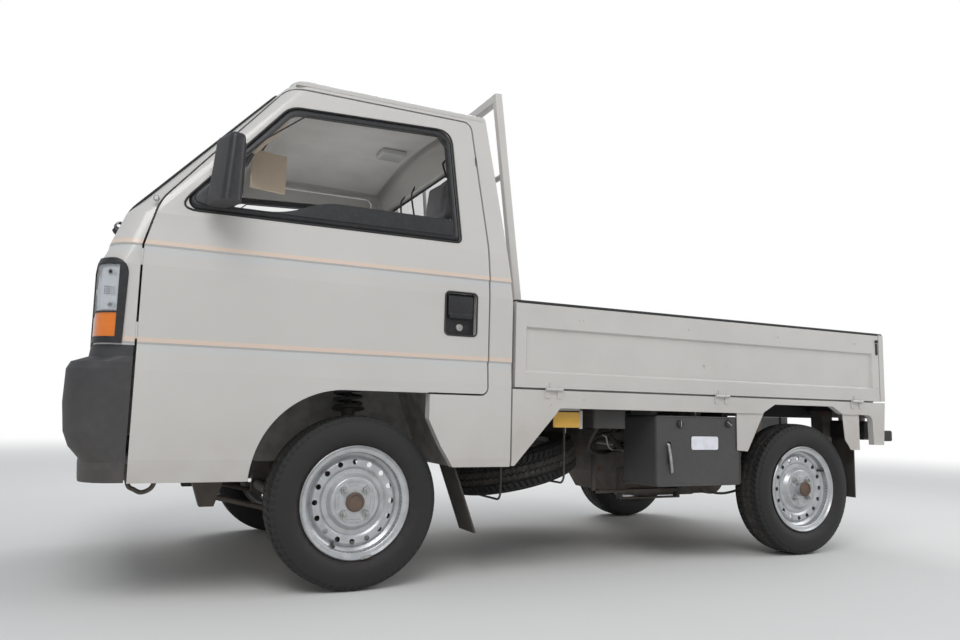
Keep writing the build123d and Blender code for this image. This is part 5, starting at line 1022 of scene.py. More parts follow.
class TRUCK_OT_wheel_details(bpy.types.Operator):
    """Hub pads, nut studs, caps, tyre valves and balance weights"""
    bl_idname = "truck.wheel_details"
    bl_label = "Wheel details"

    def execute(self, context):
        pads = [hub_pad(k * math.pi / 2) for k in range(4)]
        ridge = turned(on_hub((0.0016, 0.0664), (0.0032, 0.0654), (0.0032, 0.0634),
                              (0.0016, 0.0624)), steps=72)
        seats, studs = [], []
        for k in range(4):
            angle = math.pi / 4 + k * math.pi / 2
            middle = (STUD_CIRCLE * math.cos(angle), 0.0, STUD_CIRCLE * math.sin(angle))
            seats.append(turned(on_hub((0.001, 0.0145), (0.0042, 0.0138), (0.0042, 0.0122),
                                       (0.001, 0.0112)), middle, steps=24))
            studs.append(turned(on_hub((0.014, 0.0055), (0.021, 0.0055), (0.0225, 0.004)), middle,
                                steps=14, closed=False))
            studs.append(turned(on_hub((0.0125, 0.0108), (0.0155, 0.0092), (0.0155, 0.0062),
                                       (0.0125, 0.0062)), middle, steps=6))
        for end, side in WHEELS:
            cap_top, valve_turn, weight_turn = WHEEL_FITTINGS[end]
            cap = turned(on_hub((-0.004, 0.0296), (0.0012, 0.0286), (0.0034, 0.025), (0.0036, 0.023),
                                (0.0012, 0.0215), (0.0008, 0.008), (0.0016, 0.002)),
                         (0, cap_top, 0), closed=False)
            out = np.array([math.cos(valve_turn), 0, math.sin(valve_turn)])
            stem_top = out * 0.143 + [0, 0.046, 0]
            stem = tube([out * 0.139 + [0, 0.020, 0], out * 0.141 + [0, 0.032, 0], stem_top],
                        0.0042, 12, 6, up=out)
            valve_cap = rod(stem_top, out * 0.1438 + [0, 0.055, 0], 0.0052, 12)
            around = np.linspace(-0.09, 0.09, 8) + weight_turn
            path = np.stack([WEIGHT_CIRCLE * np.cos(around), WEIGHT_Y + 0 * around,
                             WEIGHT_CIRCLE * np.sin(around)], 1)
            weight = carried(rounded_outline(0.007, 0.009, 0.002, 3), path, (0, 1, 0))
            for name, shapes, finish, crease in (
                    ("hub_pads", pads + [ridge] + seats, "wheel silver", 35),
                    ("wheel_studs", studs, "zinc plate", 25),
                    ("hub_cap", [cap], "brown hub", 35),
                    ("valve", [stem, valve_cap], "soft rubber", 35),
                    ("balance_weight", [weight], "zinc plate", 35)):
                make_piece(f"{name}_{end}_{side}", [on_wheel(s, end, side) for s in shapes], finish,
                           f"wheel_{end}_{side}", crease)
        return {"FINISHED"}


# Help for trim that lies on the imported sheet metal
def at(*places):
    """Places given in millimetres, in metres."""
    return np.array(places, float) * MM


def shape_of(mesh):
    """A mesh's points and faces."""
    points = np.zeros(3 * len(mesh.vertices))
    mesh.vertices.foreach_get("co", points)
    return points.reshape(-1, 3), [list(face.vertices) for face in mesh.polygons]


def packed_shape(name):
    """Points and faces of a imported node, in the shared frame."""
    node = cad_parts[name]
    matrix = np.array(node.matrix_world)
    return moved(shape_of(node.data), (matrix[:3, :3], matrix[:3, 3]))


def surface_of(*nodes):
    """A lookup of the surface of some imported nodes, in the shared frame."""
    points, faces = together(*[packed_shape(name) for name in nodes])
    return BVHTree.FromPolygons(points.tolist(), faces)


def laid_on(surface, points, toward, lift=0.0):
    """Points moved along a direction onto a surface and lifted back off; misses are left out."""
    toward = np.broadcast_to(unit(toward), np.shape(points))
    placed = []
    for point, run in zip(np.asarray(points, float), toward):
        hit = surface.ray_cast(point.tolist(), run.tolist())[0]
        if hit is not None:
            placed.append(np.array(hit) - lift * run)
    return np.array(placed)


def round_corners(corners, radii, steps=7):
    """A closed flat outline with its corners rounded; corner arcs are quadratic curves."""
    corners = np.asarray(corners, float)
    outline = []
    for before, corner, after, radius in zip(
            np.roll(corners, 1, 0), corners, np.roll(corners, -1, 0), radii):
        back, ahead = unit(before - corner), unit(after - corner)
        reach = radius * math.tan(math.acos(np.clip(-back @ ahead, -1, 1)) / 2)
        start, end = corner + back * reach, corner + ahead * reach
        t = np.linspace(0, 1, steps)[:, None]
        outline.append((1 - t)**2 * start + 2 * t * (1 - t) * corner + t**2 * end)
    return np.concatenate(outline)


def filled_in(outline, spacing):
    """A closed outline with points no further apart than a spacing."""
    dense = []
    for start, end in zip(outline, np.roll(outline, -1, 0)):
        count = max(1, int(np.linalg.norm(end - start) / spacing))
        dense.append(start + np.linspace(0, 1, count, endpoint=False)[:, None] * (end - start))
    return np.concatenate(dense)


def both_sides(shapes):
    """Shapes of the left side together with their mirror images."""
    return list(shapes) + [mirrored(shape) for shape in shapes]


def on_side(side, *shapes):
    """Shapes of the left side as they are, or mirrored for the right side."""
    return list(shapes) if side == "left" else [mirrored(shape) for shape in shapes]


def side_rim(width, height, corner, centre, radius):
    """Bead along a rounded rectangle that stands upright on the truck's left side."""
    outline = rounded_outline(width, height, corner)
    path = np.insert(outline, 1, 0, axis=1) + centre
    return carried(round_outline(radius, 8), path, (0, 1, 0), closed=True)


# The brake hose
HOSE_POINTS = at(
    (-700, 475, 588), (-700, 475, 530), (-694, 476, 474), (-686, 477, 418), (-684, 478, 362),
    (-696, 478, 308), (-732, 479, 264), (-782, 480, 240), (-840, 482, 234), (-898, 484, 242),
    (-956, 486, 258), (-1018, 488, 272), (-1081, 488, 272))
HOSE_R = 0.005


class TRUCK_OT_brake_hose(bpy.types.Operator):
    """The loose brake hose between the bed's cross member and the rear axle"""
    bl_idname = "truck.brake_hose"
    bl_label = "Brake hose"

    def execute(self, context):
        curve = bpy.data.curves.new("brake_hose_line", "CURVE")
        curve.dimensions = "3D"
        curve.resolution_u = 10
        spline = curve.splines.new("NURBS")
        spline.points.add(len(HOSE_POINTS) - 1)
        spline.points.foreach_set("co", np.insert(HOSE_POINTS, 3, 1, axis=1).ravel())
        spline.order_u = 3
        spline.use_endpoint_u = True
        hose = bpy.data.objects.new("brake_hose_line", curve)
        context.scene.collection.objects.link(hose)
        line = hose.to_mesh()
        hose.to_mesh_clear()
        curve.bevel_depth = HOSE_R
        curve.bevel_resolution = 4
        curve.use_fill_caps = True
        curve.materials.append(FINISHES["soft rubber"])
        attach(hose, "chassis")
        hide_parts("brake_hose")
        ends = []
        for place, nut, sleeve in ((HOSE_POINTS[0], at(0, 0, -22), at(0, 0, -34)),
                                   (HOSE_POINTS[-1], at(18, 0, 0), at(30, 0, 0))):
            ends += [rod(place, place + nut, 0.0078, 6), rod(place + nut, place + sleeve, 0.0064)]
        fittings = make_piece("hose_fittings", ends, "zinc plate")
        return {"FINISHED"}


# Seals, wipers and other trim of the cab

# The left side window: x and z of its corners and their radii, and a y just outside the door.
# The windscreen: its foot, its directions and how far in front of it a line starts
WINDOW = ((1357, 1104), (468, 1108), (484, 1516), (1036, 1492))
WINDOW_ROUNDS = (30, 20, 55, 75)
DOOR_OUTSIDE = 706
SCREEN_FOOT = at(1497, 0, 1083)
SCREEN_CLEAR = 0.2
SCREEN_UP = unit([-460, 0, 517])
SCREEN_OUT = unit([517, 0, 460])
WIPER_RISE = 50
# The drip gutters ahead of this x move back by the cut
GUTTER_END = 1.0378
GUTTER_CUT = 0.036
# The mirror housing: where it starts, its old and new middle, its height and its direction
MIRROR_START = 0.708
MIRROR_WAS = at(1236, 792, 1202)
MIRROR_IS = at(1238, 768, 1212)
MIRROR_HEIGHT = 0.214
MIRROR_ALONG = unit([0.94, 0.34, 0])
MIRROR_ACROSS = unit(np.cross(MIRROR_ALONG, [0, 0, 1]))
# Shares of its old measures that it keeps at its foot, and what they lose towards its top
MIRROR_LONG, MIRROR_LONG_LOSS = 0.77, 0.18
MIRROR_WIDE, MIRROR_WIDE_LOSS = 0.86, 0.09
MIRROR_TALL = 0.935
MIRROR_LEAN = 0.012


def mirror_reshaped(points):
    """The mirror housing made slimmer, narrower at its top and leaning forwards.

    Each point's distances along and across the housing shrink by a share that grows with its
    rise, from 0 at the foot to 1 at the top.
    """
    housing = points[:, 1] > MIRROR_START
    local = points[housing] - MIRROR_WAS
    rise = np.clip(local[:, 2:] / MIRROR_HEIGHT + 0.5, 0, 1)
    along = local @ MIRROR_ALONG[:, None] * (MIRROR_LONG - MIRROR_LONG_LOSS * rise)
    along = along - MIRROR_LEAN * rise
    aside = local @ MIRROR_ACROSS[:, None] * (MIRROR_WIDE - MIRROR_WIDE_LOSS * rise)
    points = points.copy()
    points[housing] = (MIRROR_IS + along * MIRROR_ALONG + aside * MIRROR_ACROSS
                       + MIRROR_TALL * local[:, 2:] * [0, 0, 1])
    return points


def window_seal(inset, radius, lift):
    """Rubber line round the left window, laid on the door and its black surround."""
    corners = np.array(WINDOW, float)
    middle = corners.mean(0)
    corners += inset * np.sign(middle - corners)
    outline = filled_in(round_corners(corners, WINDOW_ROUNDS), 18)
    points = np.insert(outline, 1, DOOR_OUTSIDE, axis=1) * MM
    path = laid_on(surface_of("door_left", "door_trim_left"), points, (0, -1, 0), lift)
    return carried(round_outline(radius, 8), path, (0, 1, 0), closed=True)


def screen_seal():
    """Wide rubber round the windscreen, laid on the glass and the panels round it."""
    corners = [(-632, 30), (632, 30), (534, 634), (-534, 634)]
    outline = filled_in(round_corners(corners, (55, 55, 60, 60)), 25) * MM
    points = (SCREEN_FOOT + outline[:, :1] * [0, 1, 0] + outline[:, 1:] * SCREEN_UP
              + SCREEN_CLEAR * SCREEN_OUT)
    path = laid_on(surface_of("windscreen", "cab_front_panel", "roof"), points, -SCREEN_OUT, 0.0005)
    return carried(rounded_outline(0.026, 0.007, 0.003, 3), path, SCREEN_OUT, closed=True)


def rear_window_seal():
    """Rubber round the rear window, laid on the back of the cab."""
    corners = [(-478, 1132), (478, 1132), (478, 1493), (-478, 1493)]
    outline = filled_in(round_corners(corners, [62] * 4), 25)
    points = np.insert(outline, 0, 0, axis=1) * MM
    path = laid_on(surface_of("cab_back_panel", "rear_window"), points, (1, 0, 0), 0.0005)
    return carried(rounded_outline(0.02, 0.007, 0.003, 3), path, (-1, 0, 0), closed=True)


def wiper(pivot_y, park_y):
    """Arm and blade carried along lines on the windscreen, from a pivot towards park_y."""
    glass = surface_of("windscreen", "cab_front_panel")

    def on_glass(y, height, lift):
        point = SCREEN_FOOT + at(0, y, 0) + height * MM * SCREEN_UP
        return laid_on(glass, [point + SCREEN_CLEAR * SCREEN_OUT], -SCREEN_OUT, lift)[0]

    reach = np.sign(park_y - pivot_y)
    pivot = on_glass(pivot_y, -14, -0.004)
    boss = turned([(0, 0.013), (0.016, 0.012), (0.024, 0.009)], pivot, SCREEN_OUT, 20, closed=False)
    line = [pivot + 0.02 * SCREEN_OUT] + [
        on_glass(pivot_y + reach * run, height, lift)
        for run, height, lift in ((60, 8, 0.026), (150, 34, 0.03), (235, WIPER_RISE, 0.022))]
    parts = [boss, carried(rounded_outline(0.011, 0.005, 0.002, 3), smooth_line(line), SCREEN_OUT)]
    for outline, lift in (
            (rounded_outline(0.007, 0.006, 0.002, 3), 0.016),
            ([(-0.0035, 0.006), (0.0035, 0.006), (0.0012, -0.007), (-0.0012, -0.007)], 0.008)):
        places = np.linspace(pivot_y + reach * 20, park_y, 12)
        blade = np.array([on_glass(y, WIPER_RISE, lift) for y in places])
        parts.append(carried(outline, blade, SCREEN_OUT))
    return parts


class TRUCK_OT_cab_trim(bpy.types.Operator):
    """Rubber seals, wipers, mirror glasses and door handles"""
    bl_idname = "truck.cab_trim"
    bl_label = "Cab trim"

    def execute(self, context):
        make_piece("screen_seal", [screen_seal()], "soft rubber")
        make_piece("rear_window_seal", [rear_window_seal()], "soft rubber")
        make_piece("wipers", wiper(430, -130) + wiper(-150, -610), "black plastic")
        roof_points, roof_faces = packed_shape("roof")
        roof_points[roof_points[:, 0] > GUTTER_END, 0] -= GUTTER_CUT
        roof = make_piece("roof_panel", [(roof_points, roof_faces)], "cab paint")
        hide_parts("roof")
        outer, inner = window_seal(-1, 0.0032, 0.0006), window_seal(21, 0.0024, 0.0)
        face = MIRROR_IS - 0.0328 * MIRROR_ALONG
        slope = -0.02 * MIRROR_ALONG + [0, 0, 1]
        glass = plate(rounded_outline(0.078, 0.162, 0.018), face, MIRROR_ACROSS, slope, 0.0022)
        rim_line = face + rounded_outline(0.084, 0.168, 0.02) @ [MIRROR_ACROSS, slope]
        rim = carried(round_outline(0.0026, 8), rim_line, MIRROR_ALONG, closed=True)
        trim_points, trim_faces = packed_shape("door_trim_left")
        trim = mirror_reshaped(trim_points), trim_faces
        boot = turned([(-0.004, 0.026), (0.004, 0.026), (0.016, 0.019), (0.028, 0.016)],
                      at(1250, 654, 1150), (0, 1, 0.15), 28, closed=False)
        # handle: its flap in the black pocket, the lock under it and the pocket's rim
        pocket = rounded_block(at(415, 676.5, 798), at(523, 679.5, 934), 0.0012)
        lip = side_rim(0.114, 0.142, 0.014, (0.469, 0.6983, 0.866), 0.0028)
        flap = rounded_block(at(424, 684, 858), at(514, 695, 926), 0.004)
        grip = rounded_block(at(428, 690, 850), at(510, 697.4, 870), 0.0035)
        lock = turned([(0, 0.012), (0.007, 0.012), (0.0085, 0.0105)], at(469, 679, 822), (0, 1, 0),
                      28, closed=False)
        screw = turned([(-0.002, 0.0085), (0.002, 0.0085), (0.0045, 0.005)], at(1409, 688, 1122),
                       (0.1, 1, 0.1), 20, closed=False)
        for side in SIDES:
            door = f"door_{side}"
            surround = make_piece(f"door_surround_{side}", on_side(side, trim), "black plastic",
                                  door)
            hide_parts(f"door_trim_{side}")
            for name, shapes, finish in (
                    ("window_seals", (outer, inner, boot), "soft rubber"),
                    ("mirror_rim", (rim,), "black plastic"),
                    ("mirror_glass", (glass,), "bright metal"),
                    ("door_handle", (pocket, lip, flap, grip), "black plastic"),
                    ("door_lock", (lock,), "zinc plate"), ("cowl_screw", (screw,), "zinc plate")):
                make_piece(f"{name}_{side}", on_side(side, *shapes), finish, door)
        return {"FINISHED"}


# Lamps

# Where a lamp's lining is seen from, its bulb's line, and its lens marks: corner and pitches
LAMP_MIDDLE = (1430, 585)
BULB_Y, BULB_Z = 545, 862
MARKS_CORNER = (1496, 685, 842)
MARK_PITCH = (5.4, 6.2)
MARK_SIZE = (3, 2.5, 3)
# Rear lenses: colour, and the ends of each one across the truck
REAR_LENSES = (("amber", 592, 637), ("red", 516, 590), ("white", 467, 514))


def lamp_lining(node, low, high, inset, rows=12, columns=26):
    """Inner surface of a wrap-round lamp: its lens moved inwards, seen from its middle."""
    lens = surface_of(node)
    turn = np.linspace(math.radians(-42), math.radians(66), columns)
    run = np.stack([np.cos(turn), np.sin(turn), np.zeros(columns)], 1)
    grid = []
    for height in np.linspace(low, high, rows):
        middle = at(*LAMP_MIDDLE, height)
        row = []
        for toward in run:
            hit = lens.ray_cast((middle + 0.4 * toward).tolist(), (-toward).tolist(), 0.4)[0]
            row.append(np.array(hit) - inset * toward if hit is not None else None)
        grid.append(row)
    filled = [k for k in range(columns) if all(row[k] is not None for row in grid)]
    return np.array([[row[k] for k in filled] for row in grid])


class TRUCK_OT_lamps(bpy.types.Operator):
    """Reflectors, bulbs and small marks of the front lamps, and the rear lamps' lenses"""
    bl_idname = "truck.lamps"
    bl_label = "Lamps"

    def execute(self, context):
        reflector, discs, dark = [], [], []
        for node, low, high in (("headlamps", 803, 920), ("indicators", 734, 787)):
            lining = lamp_lining(node, low, high, 0.0115)
            back = lining - 0.0015 * unit(lining - at(*LAMP_MIDDLE, 860))
            reflector.append(skin(np.concatenate([lining, back[::-1]]), wrap_rows=True,
                                  wrap_columns=False))
        for place in at((1508, 685, 904), (1502, 685, 814)):
            discs.append(turned([(0, 0.0085), (0.003, 0.0085), (0.003, 0.0055), (0.0012, 0.0045)],
                                place, (0.15, 1, 0), 24, closed=False))
            dark.append(turned([(0.0022, 0.0042), (0.0034, 0.0036)], place, (0.15, 1, 0), 16,
                               closed=False))
        for row in range(4):
            for column in range(5):
                corner = at(*MARKS_CORNER) + at(column * MARK_PITCH[0], 0, row * MARK_PITCH[1])
                dark.append(rounded_block(corner, corner + at(*MARK_SIZE), 0.0006, 2))
        bowl = turned([(0.0, 0.052), (-0.012, 0.045), (-0.022, 0.032), (-0.028, 0.012),
                       (-0.0265, 0.012), (-0.0205, 0.031), (-0.0105, 0.0435), (0.0012, 0.051)],
                      at(1537, BULB_Y, BULB_Z), (1, 0, 0))
        bulb = turned([(0, 0.012), (0.022, 0.0115), (0.030, 0.007)], at(1512, BULB_Y, BULB_Z),
                      (1, 0, 0), 20, closed=False)
        make_piece("lamp_reflectors", both_sides(reflector + [bowl]), "bright metal")
        make_piece("lamp_bulbs", both_sides([bulb]), "white lens")
        make_piece("lamp_discs", both_sides(discs), "zinc plate")
        make_piece("lamp_marks", both_sides(dark), "black plastic")
        for name, low, high in REAR_LENSES:
            lens = rounded_block(at(-1584, low, 469), at(-1572, high, 545), 0.0035)
            make_piece(f"rear_lens_{name}", both_sides([lens]), f"{name} lens")
        return {"FINISHED"}


# Bed
HOOK_PLACES = (0, -474, -937, -1391)
HOOK_Z = 868
GATE_TOP = 926.5
SIDE_SEAL = (262, 200, -400, -1000, -1500, -1543)
REAR_SEAL = (-690, -400, 0, 400, 690)
# Corners of the two gussets under the left side: x and z; the sheet keeps off the wheel arch
GUSSETS = (((-722, 606), (-722, 424), (-776, 420), (-864, 571), (-864, 606)),
           ((-1310, 600), (-1330, 425), (-1414, 425), (-1414, 600)))
GUSSET_Y = 0.6905
ARCH_RADIUS = 0.292


def rope_hook(x, y, out):
    """Open ring of wire under the gate's top rail, an arc of 300 degrees, and its plate."""
    turn = np.radians(np.linspace(110, 410, 14))
    ring = np.stack([x + 13 * np.cos(turn), y + out * (4 + 3 * np.sin(turn)),
                     HOOK_Z + 13 * np.sin(turn)], 1)
    return [tube(ring * MM, 0.0027, 8, 2, up=(0, 1, 0)),
            rounded_block(at(x - 9, y - 2, HOOK_Z + 6), at(x + 9, y + 2, HOOK_Z + 24), 0.0015)]


def gusset(corners):
    """Sheet under the bed: points nearer to the rear wheel than its arch move out to the arch."""
    outline = filled_in(np.array(corners, float), 12) * MM
    centre = np.array([WHEEL_X["rear"], WHEEL_Z])
    away = outline - centre
    reach = np.maximum(np.linalg.norm(away, axis=1, keepdims=True), ARCH_RADIUS)
    sheet = np.insert(centre + unit(away) * reach, 1, GUSSET_Y, axis=1)
    return skin(np.stack([sheet, sheet + [0, 0.002, 0]]), ends=True)


class TRUCK_OT_bed_details(bpy.types.Operator):
    """Gate seals, rope hooks and latches, gussets, side reflectors and the blank rear plate"""
    bl_idname = "truck.bed_details"
    bl_label = "Bed details"

    def execute(self, context):
        seal_outline = rounded_outline(sizes().seal_width, 0.012, 0.005, 4)
        latch = [rounded_block(at(-1542, 688, 828), at(-1520, 697, 902), 0.003),
                 rounded_block(at(-1538, 694, 836), at(-1526, 703, 888), 0.004),
                 turned([(0, 0.007), (0.017, 0.007), (0.019, 0.005)], at(-1531, 688, 896), (0, 1, 0),
                        16, closed=False)]
        for side, sign in SIDES.items():
            gate = f"side_gate_{side}"
            path = at(*[(x, sign * 682.5, GATE_TOP) for x in SIDE_SEAL])
            make_piece(f"gate_seal_{side}", [carried(seal_outline, path)], "soft rubber", gate)
            hooks = [shape for x in HOOK_PLACES for shape in rope_hook(x, sign * 689.5, sign)]
            make_piece(f"rope_hooks_{side}", hooks, "zinc plate", gate, crease=50)
            make_piece(f"gate_latch_{side}", on_side(side, *latch), "frame black", gate)
        path = at(*[(-1565, y, GATE_TOP) for y in REAR_SEAL])
        make_piece("gate_seal_rear", [carried(seal_outline, path)], "soft rubber", "tailgate")
        amber = rounded_block(at(-25, 646, 501), at(85, 652, 556), 0.002)
        brackets = [rounded_block(at(-40, 640, 497), at(-27, 645, 572), 0.001),
                    rounded_block(at(-40, 640, 560), at(60, 645, 572), 0.001)]
        make_piece("side_reflectors", both_sides([amber]), "yellow lens")
        make_piece("reflector_brackets", both_sides(brackets), "bed paint")
        make_piece("bed_gussets", both_sides([gusset(corners) for corners in GUSSETS]), "bed paint")
        blank = rounded_block(at(-1568, -165, 398), at(-1566, 165, 556), 0.0008)
        bars = [rod(at(-1564, y, 400), at(-1564, y, 572), 0.004, 10) for y in (-120, 120)]
        make_piece("rear_plate", [blank], "blank label")
        make_piece("rear_plate_bars", bars, "frame black")
        return {"FINISHED"}


# Underside

# Hoses and wires round the engine: piece, finish, sides, and each line's radius and points
ENGINE_LINES = (
    ("engine_hoses", "soft rubber", 10, (
        (0.0085, ((-470, 380, 520), (-445, 400, 514), (-390, 400, 513), (-351, 400, 489),
                  (-337, 400, 461), (-371, 400, 433), (-420, 380, 409), (-500, 300, 400))),
        (0.006, ((-246, 350, 500), (-246, 350, 478), (-279, 350, 454), (-260, 350, 422),
                 (-318, 340, 446), (-377, 340, 447), (-417, 330, 419), (-525, 220, 430))),
        (0.005, ((-150, 560, 505), (-180, 500, 470), (-230, 420, 450), (-330, 330, 470),
                 (-530, 200, 480))),
        (0.0075, ((-140, 590, 502), (-150, 520, 440), (-240, 400, 404), (-360, 330, 390),
                  (-525, 180, 405))))),
    ("engine_wires", "zinc plate", 8, (
        (0.0036, ((-280, 420, 470), (-298, 420, 461), (-308, 420, 430), (-327, 420, 412),
                  (-376, 420, 410), (-445, 420, 372), (-500, 380, 350))),
        (0.003, ((-300, 300, 440), (-350, 300, 432), (-430, 300, 426), (-525, 210, 440))))))
SPRING_TURNS = 3
SPRING_RADIUS = 0.044


def cover_knob(x, z, turn):
    """Black slotted knob on the cover of the battery box."""
    face = turned([(0, 0.0155), (0.004, 0.0155), (0.008, 0.0135), (0.009, 0.0125)],
                  at(x, 687, z), (0, 1, 0), 32, closed=False)
    run = 0.012 * np.array([math.cos(turn), 0, math.sin(turn)])
    slot = rod(at(x, 696.4, z) - run, at(x, 696.4, z) + run, 0.0021, 8)
    return face, slot


class TRUCK_OT_underside(bpy.types.Operator):
    """Hoses, box cover fittings, springs and brackets under the bed"""
    bl_idname = "truck.underside"
    bl_label = "Underside"

    def execute(self, context):
        faces, slots = zip(cover_knob(-444, 522, math.pi / 2), cover_knob(-681, 526, 0.6))
        make_piece("cover_knobs", faces, "black plastic")
        make_piece("knob_slots", slots, "zinc plate")
        label = plate(rounded_outline(0.13, 0.05, 0.008), at(-562, 689.2, 451), (-1, 0, 0),
                      (0, 0, 1), 0.0012)
        make_piece("blank_label", [label], "blank label")
        handle = tube(at((-384, 688, 446), (-386, 694, 440), (-393, 696, 395), (-400, 694, 350),
                         (-402, 688, 344)), 0.0058, 12)
        make_piece("box_handle", [handle], "zinc plate")
        cover_rim = side_rim(0.404, 0.254, 0.013, (-0.537, 0.6885, 0.4215), 0.0022)
        make_piece("box_cover_rim", [cover_rim], "box plastic")
        for name, finish, sides, lines in ENGINE_LINES:
            make_piece(name, [tube(at(*line), radius, sides) for radius, line in lines], finish)
        brackets = [rounded_block(at(-330, 292, 228), at(-312, 306, 440), 0.003),
                    rounded_block(at(-480, 292, 228), at(-312, 306, 242), 0.003),
                    rod(at(-330, 299, 395), at(-500, 230, 395), 0.009, 12)]
        make_piece("engine_brackets", brackets, "frame black")
        hook = tube(at((1430, 560, 352), (1422, 560, 319), (1408, 560, 309), (1389, 560, 300),
                       (1369, 560, 306), (1357, 560, 320), (1350, 560, 352)), 0.0065, 12)
        make_piece("front_hook", [hook], "frame black")
        strut = rod(at(-742, 668, 570), at(-758, 668, 462), 0.0045, 10)
        make_piece("wheel_strut", both_sides([strut]), "bed paint")
        cleaner = turned([(0, 0.036), (0.004, 0.038), (0.07, 0.038), (0.078, 0.03)],
                         at(-560, 243, 420), (0.5, 1, -0.35), 36, closed=False)
        shaft = at(-760, 232, 420)
        alternator = turned([(0, 0.05), (0.01, 0.058), (0.06, 0.058), (0.07, 0.045), (0.074, 0.02)],
                            shaft, steps=40, closed=False)
        pulley = turned([(0.076, 0.032), (0.08, 0.032), (0.084, 0.026), (0.088, 0.032),
                         (0.092, 0.032)], shaft, steps=40, closed=False)
        make_piece("engine_fittings", [cleaner, alternator, pulley], "cast metal")
        turn = np.linspace(0, 2 * math.pi * SPRING_TURNS, 90)[:, None]
        coil = SPRING_RADIUS * np.hstack([np.cos(turn), np.sin(turn), 0 * turn])
        for side, sign in SIDES.items():
            foot, head = at(773.5, sign * 477, 556), at(771, sign * 464, 626)
            line = foot + (head - foot) * turn / turn[-1] + coil
            make_piece(f"front_spring_{side}", [carried(round_outline(0.0058, 8), line)],
                       "frame black")
        return {"FINISHED"}


# Inside the cab

BELT_HOOKS = (
    ((360, -175, 1500), (368, -215, 1483), (366, -233, 1469), (364, -230, 1407)),
    ((360, -50, 1518), (370, -75, 1490), (366, -96, 1467), (364, -61, 1375)),
    ((360, 300, 1535), (370, 270, 1520), (368, 257, 1514), (364, 285, 1455)))
AIR_VENTS = (-540, 0, 150, 540)
VENT_SLATS = (1012, 1020, 1028)
RADIO_KEYS = (-60, -15, 30, 75)
PEDALS = (-300, -390, -460)
DIALS_Z = 1018


def soft_roof_lining():
    """Roof lining just under the roof, with slow folds, closed by a thickness."""
    roof = surface_of("roof")
    rows, columns = np.linspace(0.40, 0.99, 40), np.linspace(-0.5, 0.5, 44)
    grid = np.zeros((len(rows), len(columns), 3))
    for i, x in enumerate(rows):
        for j, y in enumerate(columns):
            hit = roof.ray_cast((x, y, 1.5), (0, 0, 1))[0]
            top = hit[2] if hit is not None else 1.6
            fold = 0.004 * math.sin(9 * x + 3 * y) * math.sin(6.5 * y + 2 * x)
            grid[i, j] = (x, y, min(top, 1.645) - 0.012 + fold)
    return skin(np.concatenate([grid, grid[::-1] + [0, 0, 0.006]]), wrap_rows=True,
                wrap_columns=False)


def door_card():
    """Inner panel of the left door, with its arm rest, pull, window crank and pocket."""
    card = rounded_block(at(470, 655, 690), at(1330, 664, 1082), 0.004)
    rest = rounded_block(at(560, 628, 878), at(900, 656, 926), 0.012)
    pocket = rounded_block(at(560, 640, 704), at(980, 656, 800), 0.01)
    boss = turned([(0, 0.024), (0.012, 0.022), (0.018, 0.012)], at(985, 655, 905), (0, -1, 0), 28,
                  closed=False)
    crank = carried(rounded_outline(0.014, 0.008, 0.003, 3),
                    smooth_line(at((985, 639, 905), (1010, 634, 880), (1052, 632, 850))), (0, 1, 0))
    knob = turned([(0, 0.008), (0.005, 0.011), (0.022, 0.012), (0.026, 0.008)],
                  at(1052, 634, 850), (0, -1, 0), 20, closed=False)
    pull = rounded_block(at(1090, 640, 958), at(1150, 657, 990), 0.006)
    return card, rest, pocket, pull, boss, crank, knob


def dial(y, z, radius):
    """Blank instrument with a ring and a needle."""
    face = turned([(0, radius), (0.003, radius), (0.0045, radius - 0.003), (0.0022, radius - 0.004)],
                  at(1222, y, z), (-1, 0, 0.35), 40, closed=False)
    needle = rod(at(1218, y, z), at(1217, y - 500 * radius, z + 500 * radius), 0.0012, 6)
    return face, needle


